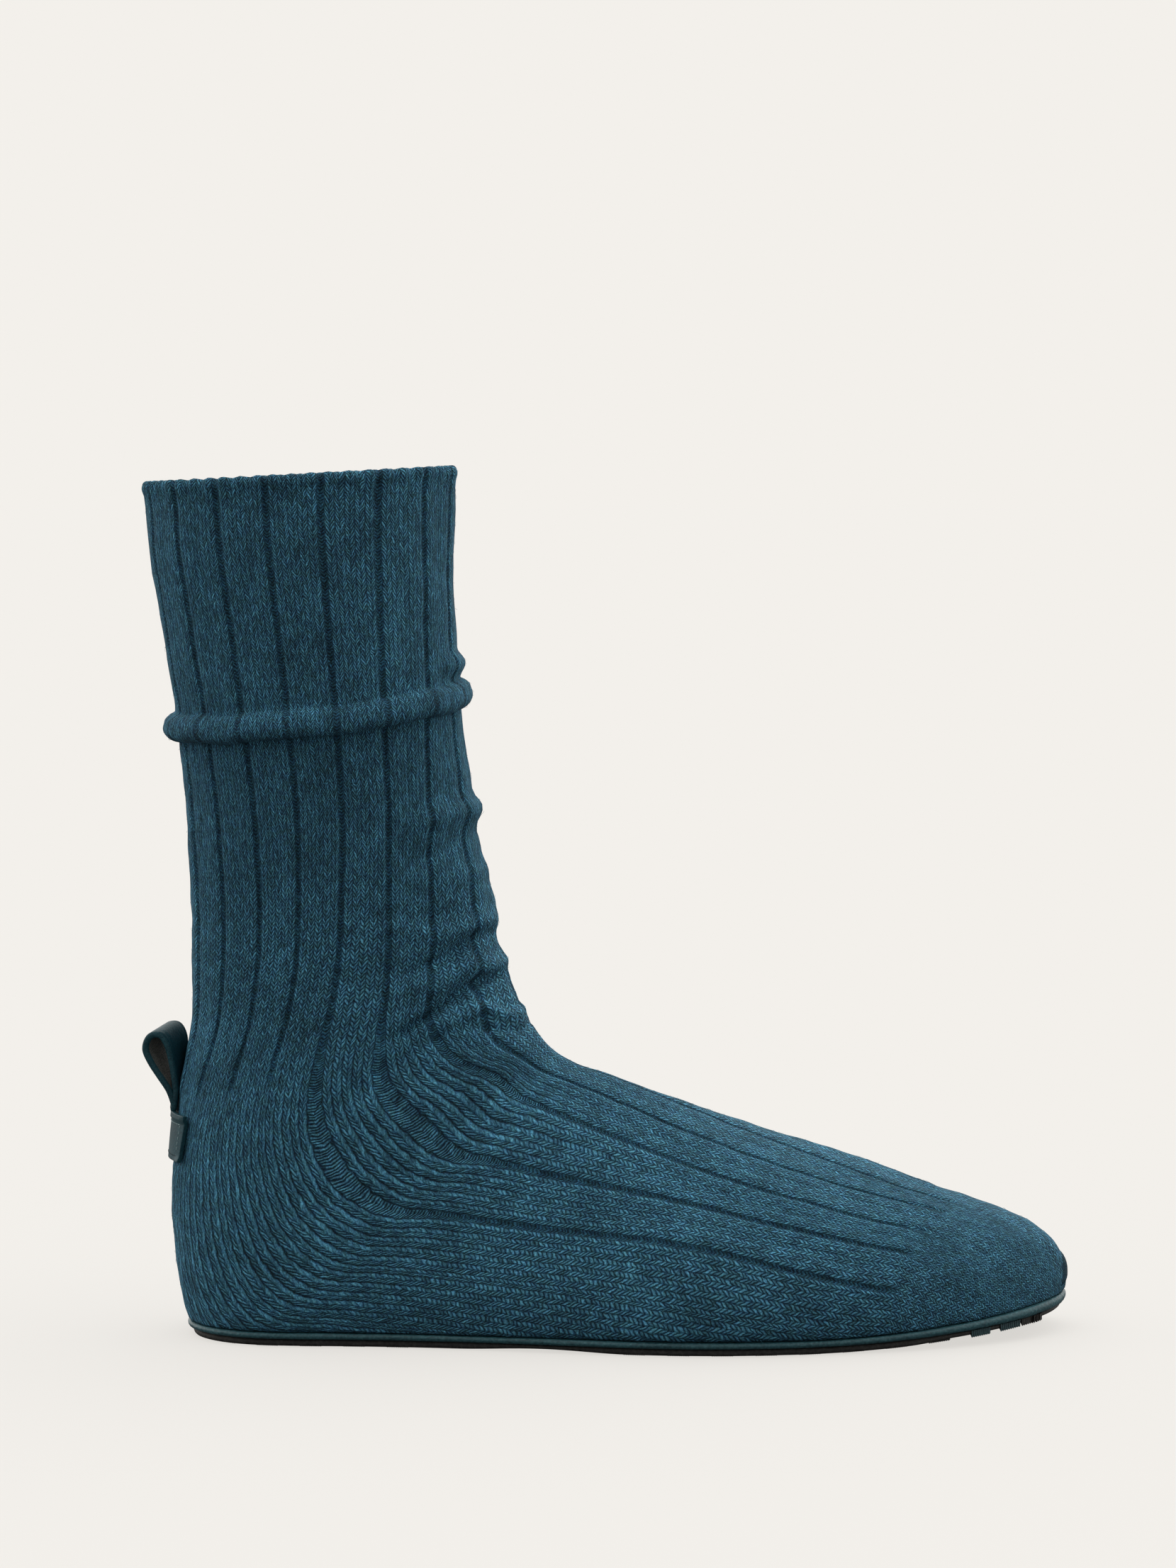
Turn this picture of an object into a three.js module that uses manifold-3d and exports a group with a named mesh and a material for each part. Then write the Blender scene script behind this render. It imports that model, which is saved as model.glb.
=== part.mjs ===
// A knitted sock shoe for the right foot: a ribbed sock upper on a thin flat sole, with a loop at the heel.
// Millimetres. +X points to the toe, +Z up, and -Y to the outer side of the foot.
// The last is drawn with the back of its heel at x = 0 and the floor at z = 0.
import * as THREE from 'three';
import { mergeVertices } from 'three/addons/utils/BufferGeometryUtils.js';
import Module from 'manifold-3d';

const wasm = await Module();
wasm.setup();

// Driving dimensions
const wallThickness = 2.0;        // knitted wall
const seatGap = 0.3;              // between pieces that meet
const treadHeight = 0.45;         // bars under the outsole
const outsoleThickness = 1.45;    // sheet that carries the bars
const midsoleThickness = 1.8;
const midsoleToeExtra = 1.0;      // the midsole's edge is deeper at the toe
const insoleThickness = 2.5;
const turnedEdge = 8.0;           // knit turned in under the insole
const toeSpring = 5.8;
const toeSpringStart = 172.0;
const soleLength = 251.0;
const archRise = 0.7;             // under the waist
const archFrom = 80.0;
const archTo = 128.0;
const midsoleUnderInset = 0.7;    // the midsole's rim is rounded: widest at half its height
const midsoleTopInset = 0.3;
const outsoleSetback = 1.6;       // outsole edge behind the midsole's
const outsoleBevel = 0.5;
const treadSetback = 3.0;
const insoleInset = 4.4;
const insoleTaper = 0.8;
const barLength = 6.0;
const barPitch = 12.0;
const heelBars = 5;
const firstHeelBar = 13.0;
const foreBars = 10;
const firstForeBar = 126.0;
const barSpan = 110.0;            // longer than the sole is wide
const barBlock = 40.0;            // taller than the toe spring
const ribCount = 16;
const stitchesPerRib = 6;
const ribDepth = 0.7;
const footRibsEnd = 23.8;         // station where the ribs stop before the toe
const legRibsEnd = 9.4;           // station where the ribs over the heel stop
const foldFade = 5.0;             // in forty-eighths round the half
const innerFoldShare = 0.8;       // of each wrinkle that shows inside
const cuffBeadHeight = 0.9;
const cuffBeadReach = 0.16;       // in stations
const rollRise = 4.0;             // slack roll round the shaft
const rollSlump = 2.2;
const rollReach = 0.36;           // half its height, in stations
const rollStation = 3.47;
const rollShoulder = 0.25;        // where the roll is fullest, as a share of its reach below the centre
const rollSag = 0.12;
const slumpFrom = 0.18;           // stations above the roll's centre where it begins to hang
const slumpSpan = 0.3;
const tabHalfWidth = 15.5;
const tabBottom = 49.5;
const tabTop = 62.2;
const tabThickness = 1.2;
const strapWidth = 11.0;
const strapThickness = 1.8;
const strapTwist = 0.42;          // forward shift per millimetre of width at the loop's top
const strapTilt = 0.2;

const wales = ribCount * stitchesPerRib;
const halfWales = wales / 2;
const soleBase = treadHeight + outsoleThickness;

// Sections of the last, from the cuff to the toe. Each is an oval on the line between a front and a back
// point, and ridge and base are the sideways places of those points.
const stationColumns = ['backX', 'backZ', 'frontX', 'frontZ', 'outer', 'inner',
  'ridge', 'base', 'widest', 'frontPower', 'backPower'];
const stationRows = [
  [-6.6, 236.9, 79.2, 241.4, -38.0, 38.0, 0, 0, 0.50, 2.10, 2.10],
  [-4.9, 217.5, 78.8, 222.5, -37.0, 37.0, 0, 0, 0.50, 2.10, 2.10],
  [-1.8, 197.5, 78.9, 203.5, -35.8, 35.8, 0, 0, 0.50, 2.10, 2.10],
  [1.2, 179.0, 79.6, 186.5, -34.4, 34.4, 0, 0, 0.50, 2.10, 2.10],
  [3.0, 161.5, 81.4, 168.5, -32.6, 32.6, 0, 0, 0.50, 2.10, 2.10],
  [4.6, 143.5, 84.2, 150.0, -30.6, 30.6, 0, 0, 0.51, 2.10, 2.10],
  [5.5, 125.5, 87.6, 132.0, -29.0, 29.0, 0, 0, 0.52, 2.10, 2.10],
  [6.1, 106.5, 90.9, 114.5, -28.2, 28.2, 0, 0, 0.52, 2.10, 2.10],
  [5.6, 87.5, 93.3, 102.5, -28.4, 28.6, 0, 0, 0.52, 2.10, 2.15],
  [2.8, 71.5, 96.0, 94.0, -29.2, 29.4, 0, 0, 0.53, 2.10, 2.20],
  [0.8, 55.5, 99.0, 88.3, -30.2, 30.2, 0, 0, 0.55, 2.10, 2.25],
  [-0.1, 39.5, 101.6, 84.3, -31.0, 30.8, 0, 0, 0.58, 2.10, 2.30],
  [0.7, 23.5, 104.0, 81.5, -31.4, 31.0, 0.5, 0, 0.60, 2.05, 2.35],
  [3.2, 8.0, 106.4, 79.1, -31.6, 31.0, 1.0, 0, 0.62, 2.00, 2.40],
  [12.0, -8.0, 109.2, 76.9, -32.0, 31.0, 1.5, 0, 0.63, 2.00, 2.45],
  [28.0, -10.0, 113.2, 74.8, -32.4, 31.0, 2.0, 0, 0.63, 1.95, 2.50],
  [46.0, -10.0, 119.2, 72.4, -33.2, 31.2, 2.5, 0, 0.64, 1.90, 2.55],
  [66.0, -10.0, 127.0, 69.5, -35.2, 32.2, 3.0, 0, 0.64, 1.85, 2.60],
  [87.0, -10.0, 136.8, 66.2, -38.6, 34.6, 3.5, 0, 0.64, 1.80, 2.60],
  [109.0, -10.0, 148.0, 62.4, -43.0, 38.0, 4.0, 0, 0.64, 1.80, 2.60],
  [131.0, -10.0, 160.0, 58.3, -46.6, 41.4, 4.5, 0.5, 0.64, 1.80, 2.60],
  [152.0, -10.0, 173.0, 53.9, -46.8, 43.6, 5.0, 1.5, 0.64, 1.80, 2.60],
  [171.0, -9.8, 186.2, 49.4, -44.0, 44.0, 5.5, 3.0, 0.63, 1.85, 2.60],
  [189.0, -9.2, 199.4, 45.0, -39.6, 43.0, 6.0, 5.0, 0.62, 1.90, 2.60],
  [205.0, -8.0, 212.0, 40.7, -34.4, 40.4, 6.5, 6.5, 0.61, 2.00, 2.60],
  [219.0, -6.2, 223.6, 36.8, -28.0, 36.8, 7.0, 7.5, 0.60, 2.10, 2.60],
  [230.5, -4.0, 233.6, 33.1, -20.8, 32.0, 7.5, 8.0, 0.60, 2.20, 2.60],
  [239.6, -1.2, 241.4, 29.4, -13.0, 26.4, 8.0, 8.0, 0.60, 2.20, 2.50],
  [246.4, 3.0, 247.2, 24.9, -5.0, 20.0, 8.0, 8.0, 0.60, 2.20, 2.40],
  [250.4, 11.1, 250.6, 19.1, 3.4, 12.4, 8.0, 8.0, 0.55, 2.20, 2.30],
];
const lastStation = stationRows.length - 1;
const toeTip = new THREE.Vector3(251.0, 8.0, 15.6);

// Where the wales 0 (middle of the front), 6, 12, 18, 24, 36 and 48 (middle of the back) lie round a section,
// counted in forty-eighths of its outer half. A row for each named station, and the rest lies between.
const waleMarks = [0, 6, 12, 18, 24, 36, 48];
const waleRows = [
  { station: 0, at: [-3.0, 3.2, 8.9, 15.0, 21.2, 32.2, 43.2] },
  { station: 3, at: [-2.2, 4.0, 9.4, 15.6, 21.3, 32.1, 43.2] },
  { station: 5, at: [-1.0, 5.1, 11.1, 16.4, 21.9, 32.4, 42.8] },
  { station: 7, at: [0.0, 6.9, 13.0, 18.3, 24.0, 33.7, 43.4] },
  { station: 9, at: [0.0, 8.0, 14.2, 19.8, 26.3, 36.0, 45.0] },
  { station: 10, at: [0.0, 7.6, 12.9, 20.0, 26.9, 37.0, 46.5] },
  { station: 12, at: [0.0, 5.1, 8.8, 17.2, 25.3, 36.8, 48.0] },
  { station: 14, at: [0.0, 3.9, 7.7, 15.2, 22.2, 35.6, 48.0] },
  { station: 17, at: [0.5, 4.9, 9.4, 15.7, 21.7, 35.0, 48.0] },
  { station: 20, at: [3.0, 8.3, 12.7, 16.8, 21.4, 34.8, 48.0] },
  { station: 23, at: [6.0, 9.9, 14.6, 18.5, 23.6, 35.8, 48.0] },
  { station: 29, at: [7.0, 11.5, 16.0, 20.5, 25.5, 36.8, 48.0] },
];

// Soft wrinkles in front of the ankle: a line between two places (share round the half, station), its rise
// (a trough is negative) and half its width in stations. They lie on both halves of the sock.
const foldRows = [
  { name: 'bulgeOverRoll', from: [0, 3.02], to: [9, 3.02], rise: 1.3, reach: 0.22 },
  { name: 'ridgeHigh', from: [0, 5.25], to: [14, 5.27], rise: 1.4, reach: 0.3 },
  { name: 'troughHigh', from: [0, 5.6], to: [15, 5.66], rise: -0.9, reach: 0.28 },
  { name: 'ridgeMiddle', from: [0, 6.85], to: [13, 6.95], rise: 1.2, reach: 0.34 },
  { name: 'troughMiddle', from: [0, 7.2], to: [17, 7.8], rise: -1.4, reach: 0.3 },
  { name: 'ridgeLow', from: [0, 7.8], to: [16, 8.1], rise: 1.4, reach: 0.34 },
  { name: 'troughLow', from: [0, 8.4], to: [18, 9.0], rise: -1.7, reach: 0.4 },
  { name: 'ridgeCrease', from: [0, 9.4], to: [12, 9.3], rise: 1.4, reach: 0.45 },
];

// Outline of the sole at its edge: x, and how far it reaches to the outer and to the inner side
const outlineRows = [
  { x: 4.2, outer: 0.0, inner: 0.0 },
  { x: 5.4, outer: 9.6, inner: 9.4 },
  { x: 9.0, outer: 17.0, inner: 16.5 },
  { x: 14.5, outer: 22.7, inner: 22.1 },
  { x: 23.0, outer: 27.2, inner: 26.4 },
  { x: 35.0, outer: 29.3, inner: 28.1 },
  { x: 52.0, outer: 30.3, inner: 28.6 },
  { x: 72.0, outer: 32.4, inner: 29.8 },
  { x: 92.0, outer: 35.7, inner: 32.0 },
  { x: 112.0, outer: 40.2, inner: 35.5 },
  { x: 132.0, outer: 44.2, inner: 39.2 },
  { x: 152.0, outer: 45.6, inner: 42.0 },
  { x: 172.0, outer: 43.6, inner: 43.0 },
  { x: 190.0, outer: 39.8, inner: 42.5 },
  { x: 206.0, outer: 34.9, inner: 40.5 },
  { x: 221.0, outer: 28.2, inner: 36.9 },
  { x: 233.0, outer: 20.9, inner: 32.0 },
  { x: 242.0, outer: 13.0, inner: 26.6 },
  { x: 248.5, outer: 3.2, inner: 20.0 },
  { x: soleLength, outer: -8.0, inner: 8.0 },
];

// The strap's middle line seen from the side, from the tab up round the loop and back
const loopRows = [
  { x: 1.3, z: 62.9 }, { x: -0.2, z: 68.2 }, { x: -2.2, z: 72.4 }, { x: -4.2, z: 76.8 },
  { x: -5.2, z: 80.8 }, { x: -3.8, z: 84.2 }, { x: -0.8, z: 84.6 }, { x: 1.1, z: 81.4 },
  { x: 1.7, z: 76.0 }, { x: 1.7, z: 70.4 }, { x: 1.6, z: 66.0 },
];
const loopPinch = 62.9;
const loopHeight = 22.0;

const openingBelow = -5.0;        // the opening in the knit's underside, cut from below the floor
const openingAbove = 0.6;
const mouthRise = 6.0;            // the room inside runs out past the cuff

// Fineness of the curves
const sectionSteps = 90;
const outerColumns = 48;
const innerColumns = 32;
const tabColumns = 12;
const tabRows = 4;
const loopSteps = 3;
const searchSteps = 30;
const normalDip = 0.02;           // in stations
const normalSpan = 0.8;           // in forty-eighths
const touch = 0.01;
const heelStations = [5, 13];
const rollRings = [-0.30, -0.20, -0.10, 0.02, 0.15, 0.26, 0.34, 0.39, 0.42];
const shaftRings = [0, 0.04, 0.1, 0.17, 0.8, 1.6, 2.4, 2.8, 3.0, 4.1, 4.6];
const heelRings = [11, 12, 12.6, 13, 13.15, 13.3, 13.5, 13.75];
const toeRings = [27.7, 28.3, 28.75, 29];
const innerShaftRings = [0, 2, 4];
const innerHeelRings = [11, 12, 12.7, 13.1, 13.4];
const innerToeRings = [27.8, 28.3];

function smoothStep(t) {
  const u = Math.min(1, Math.max(0, t));
  return u * u * (3 - 2 * u);
}

function catmull(a, b, c, d, t) {
  const square = 2 * a - 5 * b + 4 * c - d;
  const cube = 3 * b - a - 3 * c + d;
  return 0.5 * (2 * b + (c - a) * t + square * t * t + cube * t * t * t);
}

function stationAt(s) {
  const k = Math.min(lastStation - 1, Math.max(0, Math.floor(s)));
  const pick = (j) => stationRows[Math.min(lastStation, Math.max(0, j))];
  const [a, b, c, d] = [pick(k - 1), pick(k), pick(k + 1), pick(k + 2)];
  return Object.fromEntries(stationColumns.map((name, i) => [name, catmull(a[i], b[i], c[i], d[i], s - k)]));
}

// Share of the toe spring that a place x along the sole has
function springAt(x) {
  const t = Math.max(0, x - toeSpringStart) / (soleLength - toeSpringStart);
  return t * t;
}

const outsoleBottomAt = (x) => toeSpring * springAt(x);
const midsoleBottomAt = (x) => soleBase + seatGap + toeSpring * springAt(x);
const midsoleTopAt = (x) => midsoleBottomAt(x) + midsoleThickness + midsoleToeExtra * springAt(x);
const knitBottomAt = (x) => midsoleTopAt(x) + seatGap;
const insoleBottomAt = (x) => knitBottomAt(x) + wallThickness + seatGap;

// A point of a section: t runs from its front point to its back point, side is -1 outside and 1 inside
function sectionPoint(row, t, side) {
  const reach = side < 0 ? row.outer : row.inner;
  const inFront = t < row.widest;
  const power = inFront ? row.frontPower : row.backPower;
  const middle = inFront ? row.ridge : row.base;
  const u = inFront ? (row.widest - t) / row.widest : (t - row.widest) / (1 - row.widest);
  const share = Math.pow(Math.max(0, 1 - Math.pow(u, power)), 1 / power);
  const x = row.frontX + (row.backX - row.frontX) * t;
  const z = row.frontZ + (row.backZ - row.frontZ) * t;
  return new THREE.Vector3(x, middle + (reach - middle) * share, z);
}

// Half a section as a fine line from front to back, with its running length
function halfSection(s, side) {
  const row = stationAt(s);
  const points = [];
  const lengths = [0];
  for (let i = 0; i <= sectionSteps; i += 1) {
    const point = sectionPoint(row, (1 - Math.cos((Math.PI * i) / sectionSteps)) / 2, side);
    point.z = Math.max(point.z, knitBottomAt(point.x));
    points.push(point);
    if (i > 0) lengths.push(lengths[i - 1] + point.distanceTo(points[i - 1]));
  }
  return { points, lengths };
}

function pointAlong(half, share) {
  const target = Math.min(1, Math.max(0, share)) * half.lengths.at(-1);
  let k = 0;
  while (k < half.lengths.length - 2 && half.lengths[k + 1] < target) k += 1;
  const t = (target - half.lengths[k]) / Math.max(1e-9, half.lengths[k + 1] - half.lengths[k]);
  return half.points[k].clone().lerp(half.points[k + 1], t);
}

// place runs from -48 to 48: 0 is the front, negative is the inner half
function wrapPlace(place) {
  if (place > halfWales) return place - wales;
  if (place < -halfWales) return place + wales;
  return place;
}

function surfacePoint(halves, place) {
  const p = wrapPlace(place);
  return pointAlong(p >= 0 ? halves.outer : halves.inner, Math.abs(p) / halfWales);
}

// Place round the section of a wale at station s
function placeOfWale(wale, s) {
  let k = 0;
  while (k < waleRows.length - 2 && waleRows[k + 1].station < s) k += 1;
  const [a, b] = [waleRows[k], waleRows[k + 1]];
  const t = Math.min(1, (s - a.station) / (b.station - a.station));
  const at = a.at.map((value, i) => value + (b.at[i] - value) * t);
  if (wale < 0) {
    const back = at.at(-1) - wales;
    return at[0] + (back - at[0]) * (-wale / halfWales);
  }
  let j = 0;
  while (j < waleMarks.length - 2 && waleMarks[j + 1] < wale) j += 1;
  return at[j] + ((at[j + 1] - at[j]) * (wale - waleMarks[j])) / (waleMarks[j + 1] - waleMarks[j]);
}

function bump(distance, reach) {
  const u = Math.abs(distance) / reach;
  return u >= 1 ? 0 : (1 - u * u) ** 2;
}

function foldRise(place, s) {
  const round = Math.abs(wrapPlace(place));
  return foldRows.reduce((sum, fold) => {
    const t = Math.min(1, (round - fold.from[0]) / (fold.to[0] - fold.from[0]));
    const centre = fold.from[1] + (fold.to[1] - fold.from[1]) * t;
    const fade = 1 - smoothStep((round - fold.to[0]) / foldFade + 0.5);
    return sum + fold.rise * fade * bump(s - centre, fold.reach);
  }, 0);
}

function rollCentre(place) {
  return rollStation + rollSag * Math.sin((Math.PI * Math.abs(wrapPlace(place))) / halfWales);
}

// How far the roll stands out: it swells slowly from above and turns in sharply below
function rollShare(place, s) {
  const u = (s - rollCentre(place)) / rollReach;
  if (u < -1 || u > 1) return 0;
  if (u < rollShoulder) return smoothStep((u + 1) / (rollShoulder + 1));
  return Math.sqrt(Math.max(0, 1 - ((u - rollShoulder) / (1 - rollShoulder)) ** 2));
}

function ribCut(wale, s) {
  const onFoot = s > legRibsEnd;
  if (onFoot && Math.abs(wale) > halfWales / 2) return 0;
  if (s > footRibsEnd) return 0;
  return ((wale % stitchesPerRib) + stitchesPerRib) % stitchesPerRib === 0 ? ribDepth : 0;
}

// A closed tube of rings, the last of which ends in a tip. Each ring is a list of points.
function tubeGeometry(rings, tip) {
  const count = rings[0].length;
  const start = rings[0].reduce((sum, p) => sum.add(p), new THREE.Vector3()).divideScalar(count);
  const points = [...rings.flat(), start, tip];
  const index = [];
  for (let r = 0; r < rings.length - 1; r += 1) {
    for (let c = 0; c < count; c += 1) {
      const next = (c + 1) % count;
      const [a, b] = [r * count + c, r * count + next];
      const [d, e] = [a + count, b + count];
      index.push(a, b, d, b, e, d);
    }
  }
  const lastRing = (rings.length - 1) * count;
  for (let c = 0; c < count; c += 1) {
    const next = (c + 1) % count;
    index.push(rings.length * count, next, c);
    index.push(lastRing + c, lastRing + next, rings.length * count + 1);
  }
  return geometryFrom(points, index);
}

function geometryFrom(points, index) {
  const geometry = new THREE.BufferGeometry().setFromPoints(points);
  geometry.setIndex(index);
  return geometry;
}

function signedVolume(geometry) {
  const position = geometry.getAttribute('position');
  const index = geometry.getIndex();
  const [a, b, c] = [new THREE.Vector3(), new THREE.Vector3(), new THREE.Vector3()];
  let volume = 0;
  for (let i = 0; i < index.count; i += 3) {
    a.fromBufferAttribute(position, index.getX(i));
    b.fromBufferAttribute(position, index.getX(i + 1));
    c.fromBufferAttribute(position, index.getX(i + 2));
    volume += a.dot(b.cross(c)) / 6;
  }
  return volume;
}

function toSolid(source) {
  const geometry = source.clone();
  geometry.deleteAttribute('normal');
  geometry.deleteAttribute('uv');
  const merged = mergeVertices(geometry, 1e-4);
  if (signedVolume(merged) < 0) {
    const index = merged.getIndex().array;
    for (let i = 0; i < index.length; i += 3) [index[i], index[i + 1]] = [index[i + 1], index[i]];
  }
  return new wasm.Manifold(new wasm.Mesh({
    numProp: 3,
    vertProperties: new Float32Array(merged.getAttribute('position').array),
    triVerts: new Uint32Array(merged.getIndex().array),
  }));
}

function toGeometry(solid) {
  const mesh = solid.getMesh();
  const geometry = new THREE.BufferGeometry();
  const flat = new Float32Array(mesh.numVert * 3);
  for (let i = 0; i < mesh.numVert; i += 1) {
    for (let k = 0; k < 3; k += 1) flat[i * 3 + k] = mesh.vertProperties[i * mesh.numProp + k];
  }
  geometry.setAttribute('position', new THREE.BufferAttribute(flat, 3));
  geometry.setIndex(new THREE.BufferAttribute(new Uint32Array(mesh.triVerts), 1));
  return geometry;
}

// Rings of the knit. Each point is moved along the surface's own normal by what moveAt gives. The flat
// underside ends up depth above the knit's lowest face, and nothing lies below it.
function knitRings(stations, columns, placeAt, depth, moveAt) {
  return stations.map((s) => {
    const side = s + normalDip > lastStation ? -1 : 1;
    const [here, near] = [s, s + side * normalDip]
      .map((at) => ({ outer: halfSection(at, -1), inner: halfSection(at, 1) }));
    return columns.map((column) => {
      const place = placeAt(column, s);
      const point = surfacePoint(here, place);
      const along = surfacePoint(near, place).sub(point).multiplyScalar(side);
      const round = surfacePoint(here, place + normalSpan).sub(surfacePoint(here, place - normalSpan));
      const normal = round.cross(along).normalize();
      const moved = point.clone().addScaledVector(normal, moveAt(column, place, s));
      const floor = knitBottomAt(moved.x) + depth;
      const underneath = point.z < knitBottomAt(point.x) + touch;
      moved.z = underneath ? floor : Math.max(moved.z, floor);
      return moved;
    });
  });
}

function range(from, to, step) {
  const count = Math.round((to - from) / step);
  return Array.from({ length: count + 1 }, (_, i) => from + ((to - from) * i) / count);
}

// Wales or places, evenly spaced all the way round from the middle of the back
function evenly(count) {
  return Array.from({ length: count }, (_, i) => (i - count / 2) * (wales / count));
}

function outerKnit() {
  const roll = rollRings.map((u) => rollStation + u);
  const shaft = [...shaftRings, ...roll].sort((a, b) => a - b);
  const stations = [...shaft, ...range(5, 10, 0.25), ...heelRings, ...range(14, 27, 1), ...toeRings];
  const columns = evenly(outerColumns);
  const move = (wale, place, s) => {
    const bead = cuffBeadHeight * bump(s - cuffBeadReach / 2, cuffBeadReach);
    return bead + foldRise(place, s) + rollRise * rollShare(place, s) - ribCut(wale, s);
  };
  const rings = knitRings(stations, columns, placeOfWale, 0, move);
  rings.forEach((ring, r) => {
    ring.forEach((point, c) => {
      const share = rollShare(placeOfWale(columns[c], stations[r]), stations[r]);
      point.z -= rollSlump * share ** 2 * smoothStep((stations[r] - rollStation + slumpFrom) / slumpSpan);
    });
  });
  return toSolid(tubeGeometry(rings, toeTip));
}

// The room inside the knit
function innerKnit() {
  const shaft = [...innerShaftRings, ...range(4.6, 10, 0.6)];
  const stations = [...shaft, ...innerHeelRings, ...range(14, 27, 1), ...innerToeRings];
  const columns = evenly(innerColumns);
  const move = (column, place, s) => innerFoldShare * foldRise(place, s) - wallThickness;
  const rings = knitRings(stations, columns, (place) => place, wallThickness, move);
  const [cuff, below] = [stationAt(0), stationAt(1)];
  const rise = new THREE.Vector3(cuff.backX - below.backX, 0, cuff.backZ - below.backZ).setLength(mouthRise);
  const mouth = rings[0].map((point) => point.clone().add(rise));
  const tip = toeTip.clone();
  tip.x -= 1.5 * wallThickness;
  return toSolid(tubeGeometry([mouth, ...rings], tip));
}

// The sole's outline as one closed loop, pulled in by inset: from heel to toe outside, then back inside
function outlineLoop(inset, perRow = 2) {
  const outer = outlineRows.map((row) => new THREE.Vector2(row.x, -row.outer));
  const inner = outlineRows.slice(1, -1).reverse().map((row) => new THREE.Vector2(row.x, row.inner));
  const corners = [...outer, ...inner];
  const n = corners.length;
  const loop = [];
  for (let i = 0; i < n; i += 1) {
    const [a, b, c, d] = [-1, 0, 1, 2].map((j) => corners[(i + j + n) % n]);
    for (let k = 0; k < perRow; k += 1) {
      const t = k / perRow;
      loop.push(new THREE.Vector2(catmull(a.x, b.x, c.x, d.x, t), catmull(a.y, b.y, c.y, d.y, t)));
    }
  }
  return loop.map((point, i) => {
    const before = loop[(i - 1 + loop.length) % loop.length];
    const after = loop[(i + 1) % loop.length];
    const along = after.clone().sub(before).normalize();
    return new THREE.Vector2(point.x - along.y * inset, point.y + along.x * inset);
  });
}

// A layer in the sole's outline: levels from bottom to top, each with its inset and its height along the shoe
function layerSolid(levels) {
  const loops = levels.map((level) => outlineLoop(level.inset)
    .map((point) => new THREE.Vector3(point.x, point.y, level.heightAt(point.x))));
  const n = loops[0].length;
  const points = loops.flat();
  const index = [];
  for (let l = 0; l < loops.length - 1; l += 1) {
    for (let i = 0; i < n; i += 1) {
      const j = (i + 1) % n;
      index.push(l * n + i, l * n + j, (l + 1) * n + i, l * n + j, (l + 1) * n + j, (l + 1) * n + i);
    }
  }
  const cap = (base, up) => {
    const face = (a, b, c) => index.push(...(up ? [a, b, c] : [a, c, b]).map((v) => base + v));
    for (let i = 0; i < n / 2; i += 1) {
      const [a, b, c, d] = [i, i + 1, (n - i) % n, n - i - 1];
      if (i > 0) face(a, b, c);
      if (b !== d) face(b, d, c);
    }
  };
  cap(0, false);
  cap((loops.length - 1) * n, true);
  return toSolid(geometryFrom(points, index));
}

function placedBox(width, depth, height, x, y, z) {
  const box = new THREE.BoxGeometry(width, depth, height);
  box.translate(x, y, z);
  return toSolid(box);
}

function upperGeometry() {
  const opening = layerSolid([
    { inset: turnedEdge, heightAt: () => openingBelow },
    { inset: turnedEdge, heightAt: (x) => knitBottomAt(x) + wallThickness + openingAbove },
  ]);
  return toGeometry(outerKnit().subtract(innerKnit()).subtract(opening));
}

function insoleGeometry() {
  return toGeometry(layerSolid([
    { inset: insoleInset, heightAt: insoleBottomAt },
    { inset: insoleInset + insoleTaper, heightAt: (x) => insoleBottomAt(x) + insoleThickness },
  ]));
}

function midsoleGeometry() {
  return toGeometry(layerSolid([
    { inset: midsoleUnderInset, heightAt: midsoleBottomAt },
    { inset: 0, heightAt: (x) => (midsoleBottomAt(x) + midsoleTopAt(x)) / 2 },
    { inset: midsoleTopInset, heightAt: midsoleTopAt },
  ]));
}

// A thin sheet with a shallow arch, and bars across it under the heel and the forefoot
function outsoleGeometry() {
  const archAt = (x) => {
    const t = (x - archFrom) / (archTo - archFrom);
    return t > 0 && t < 1 ? archRise * Math.sin(Math.PI * t) ** 2 : 0;
  };
  const sheet = layerSolid([
    { inset: outsoleSetback + outsoleBevel, heightAt: (x) => outsoleBottomAt(x) + treadHeight + archAt(x) },
    { inset: outsoleSetback, heightAt: (x) => outsoleBottomAt(x) + soleBase },
  ]);
  const tread = layerSolid([
    { inset: treadSetback, heightAt: outsoleBottomAt },
    { inset: treadSetback, heightAt: (x) => outsoleBottomAt(x) + soleBase - seatGap },
  ]);
  const starts = [
    ...Array.from({ length: heelBars }, (_, i) => firstHeelBar + i * barPitch),
    ...Array.from({ length: foreBars }, (_, i) => firstForeBar + i * barPitch),
  ];
  const bars = starts
    .map((x) => placedBox(barLength, barSpan, barBlock, x, 0, 0))
    .reduce((sum, box) => sum.add(box));
  return toGeometry(sheet.add(tread.intersect(bars)));
}

// x of the back of the heel at a sideways place y and a height z
function heelBackAt(y, z) {
  const placeAt = (s) => {
    const row = stationAt(s);
    const reach = y < 0 ? row.outer : row.inner;
    const share = Math.min(1, Math.abs((y - row.base) / (reach - row.base)));
    const u = Math.pow(1 - Math.pow(share, row.backPower), 1 / row.backPower);
    const t = row.widest + u * (1 - row.widest);
    return { x: row.frontX + (row.backX - row.frontX) * t, z: row.frontZ + (row.backZ - row.frontZ) * t };
  };
  let [high, low] = heelStations;
  for (let i = 0; i < searchSteps; i += 1) {
    const middle = (high + low) / 2;
    if (placeAt(middle).z > z) high = middle;
    else low = middle;
  }
  return placeAt((high + low) / 2).x;
}

function heelNormalAt(y, z) {
  const step = 0.4;
  const slopeY = (heelBackAt(y + step, z) - heelBackAt(y - step, z)) / (2 * step);
  const slopeZ = (heelBackAt(y, z + step) - heelBackAt(y, z - step)) / (2 * step);
  return new THREE.Vector3(-1, slopeY, slopeZ).normalize();
}

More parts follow.
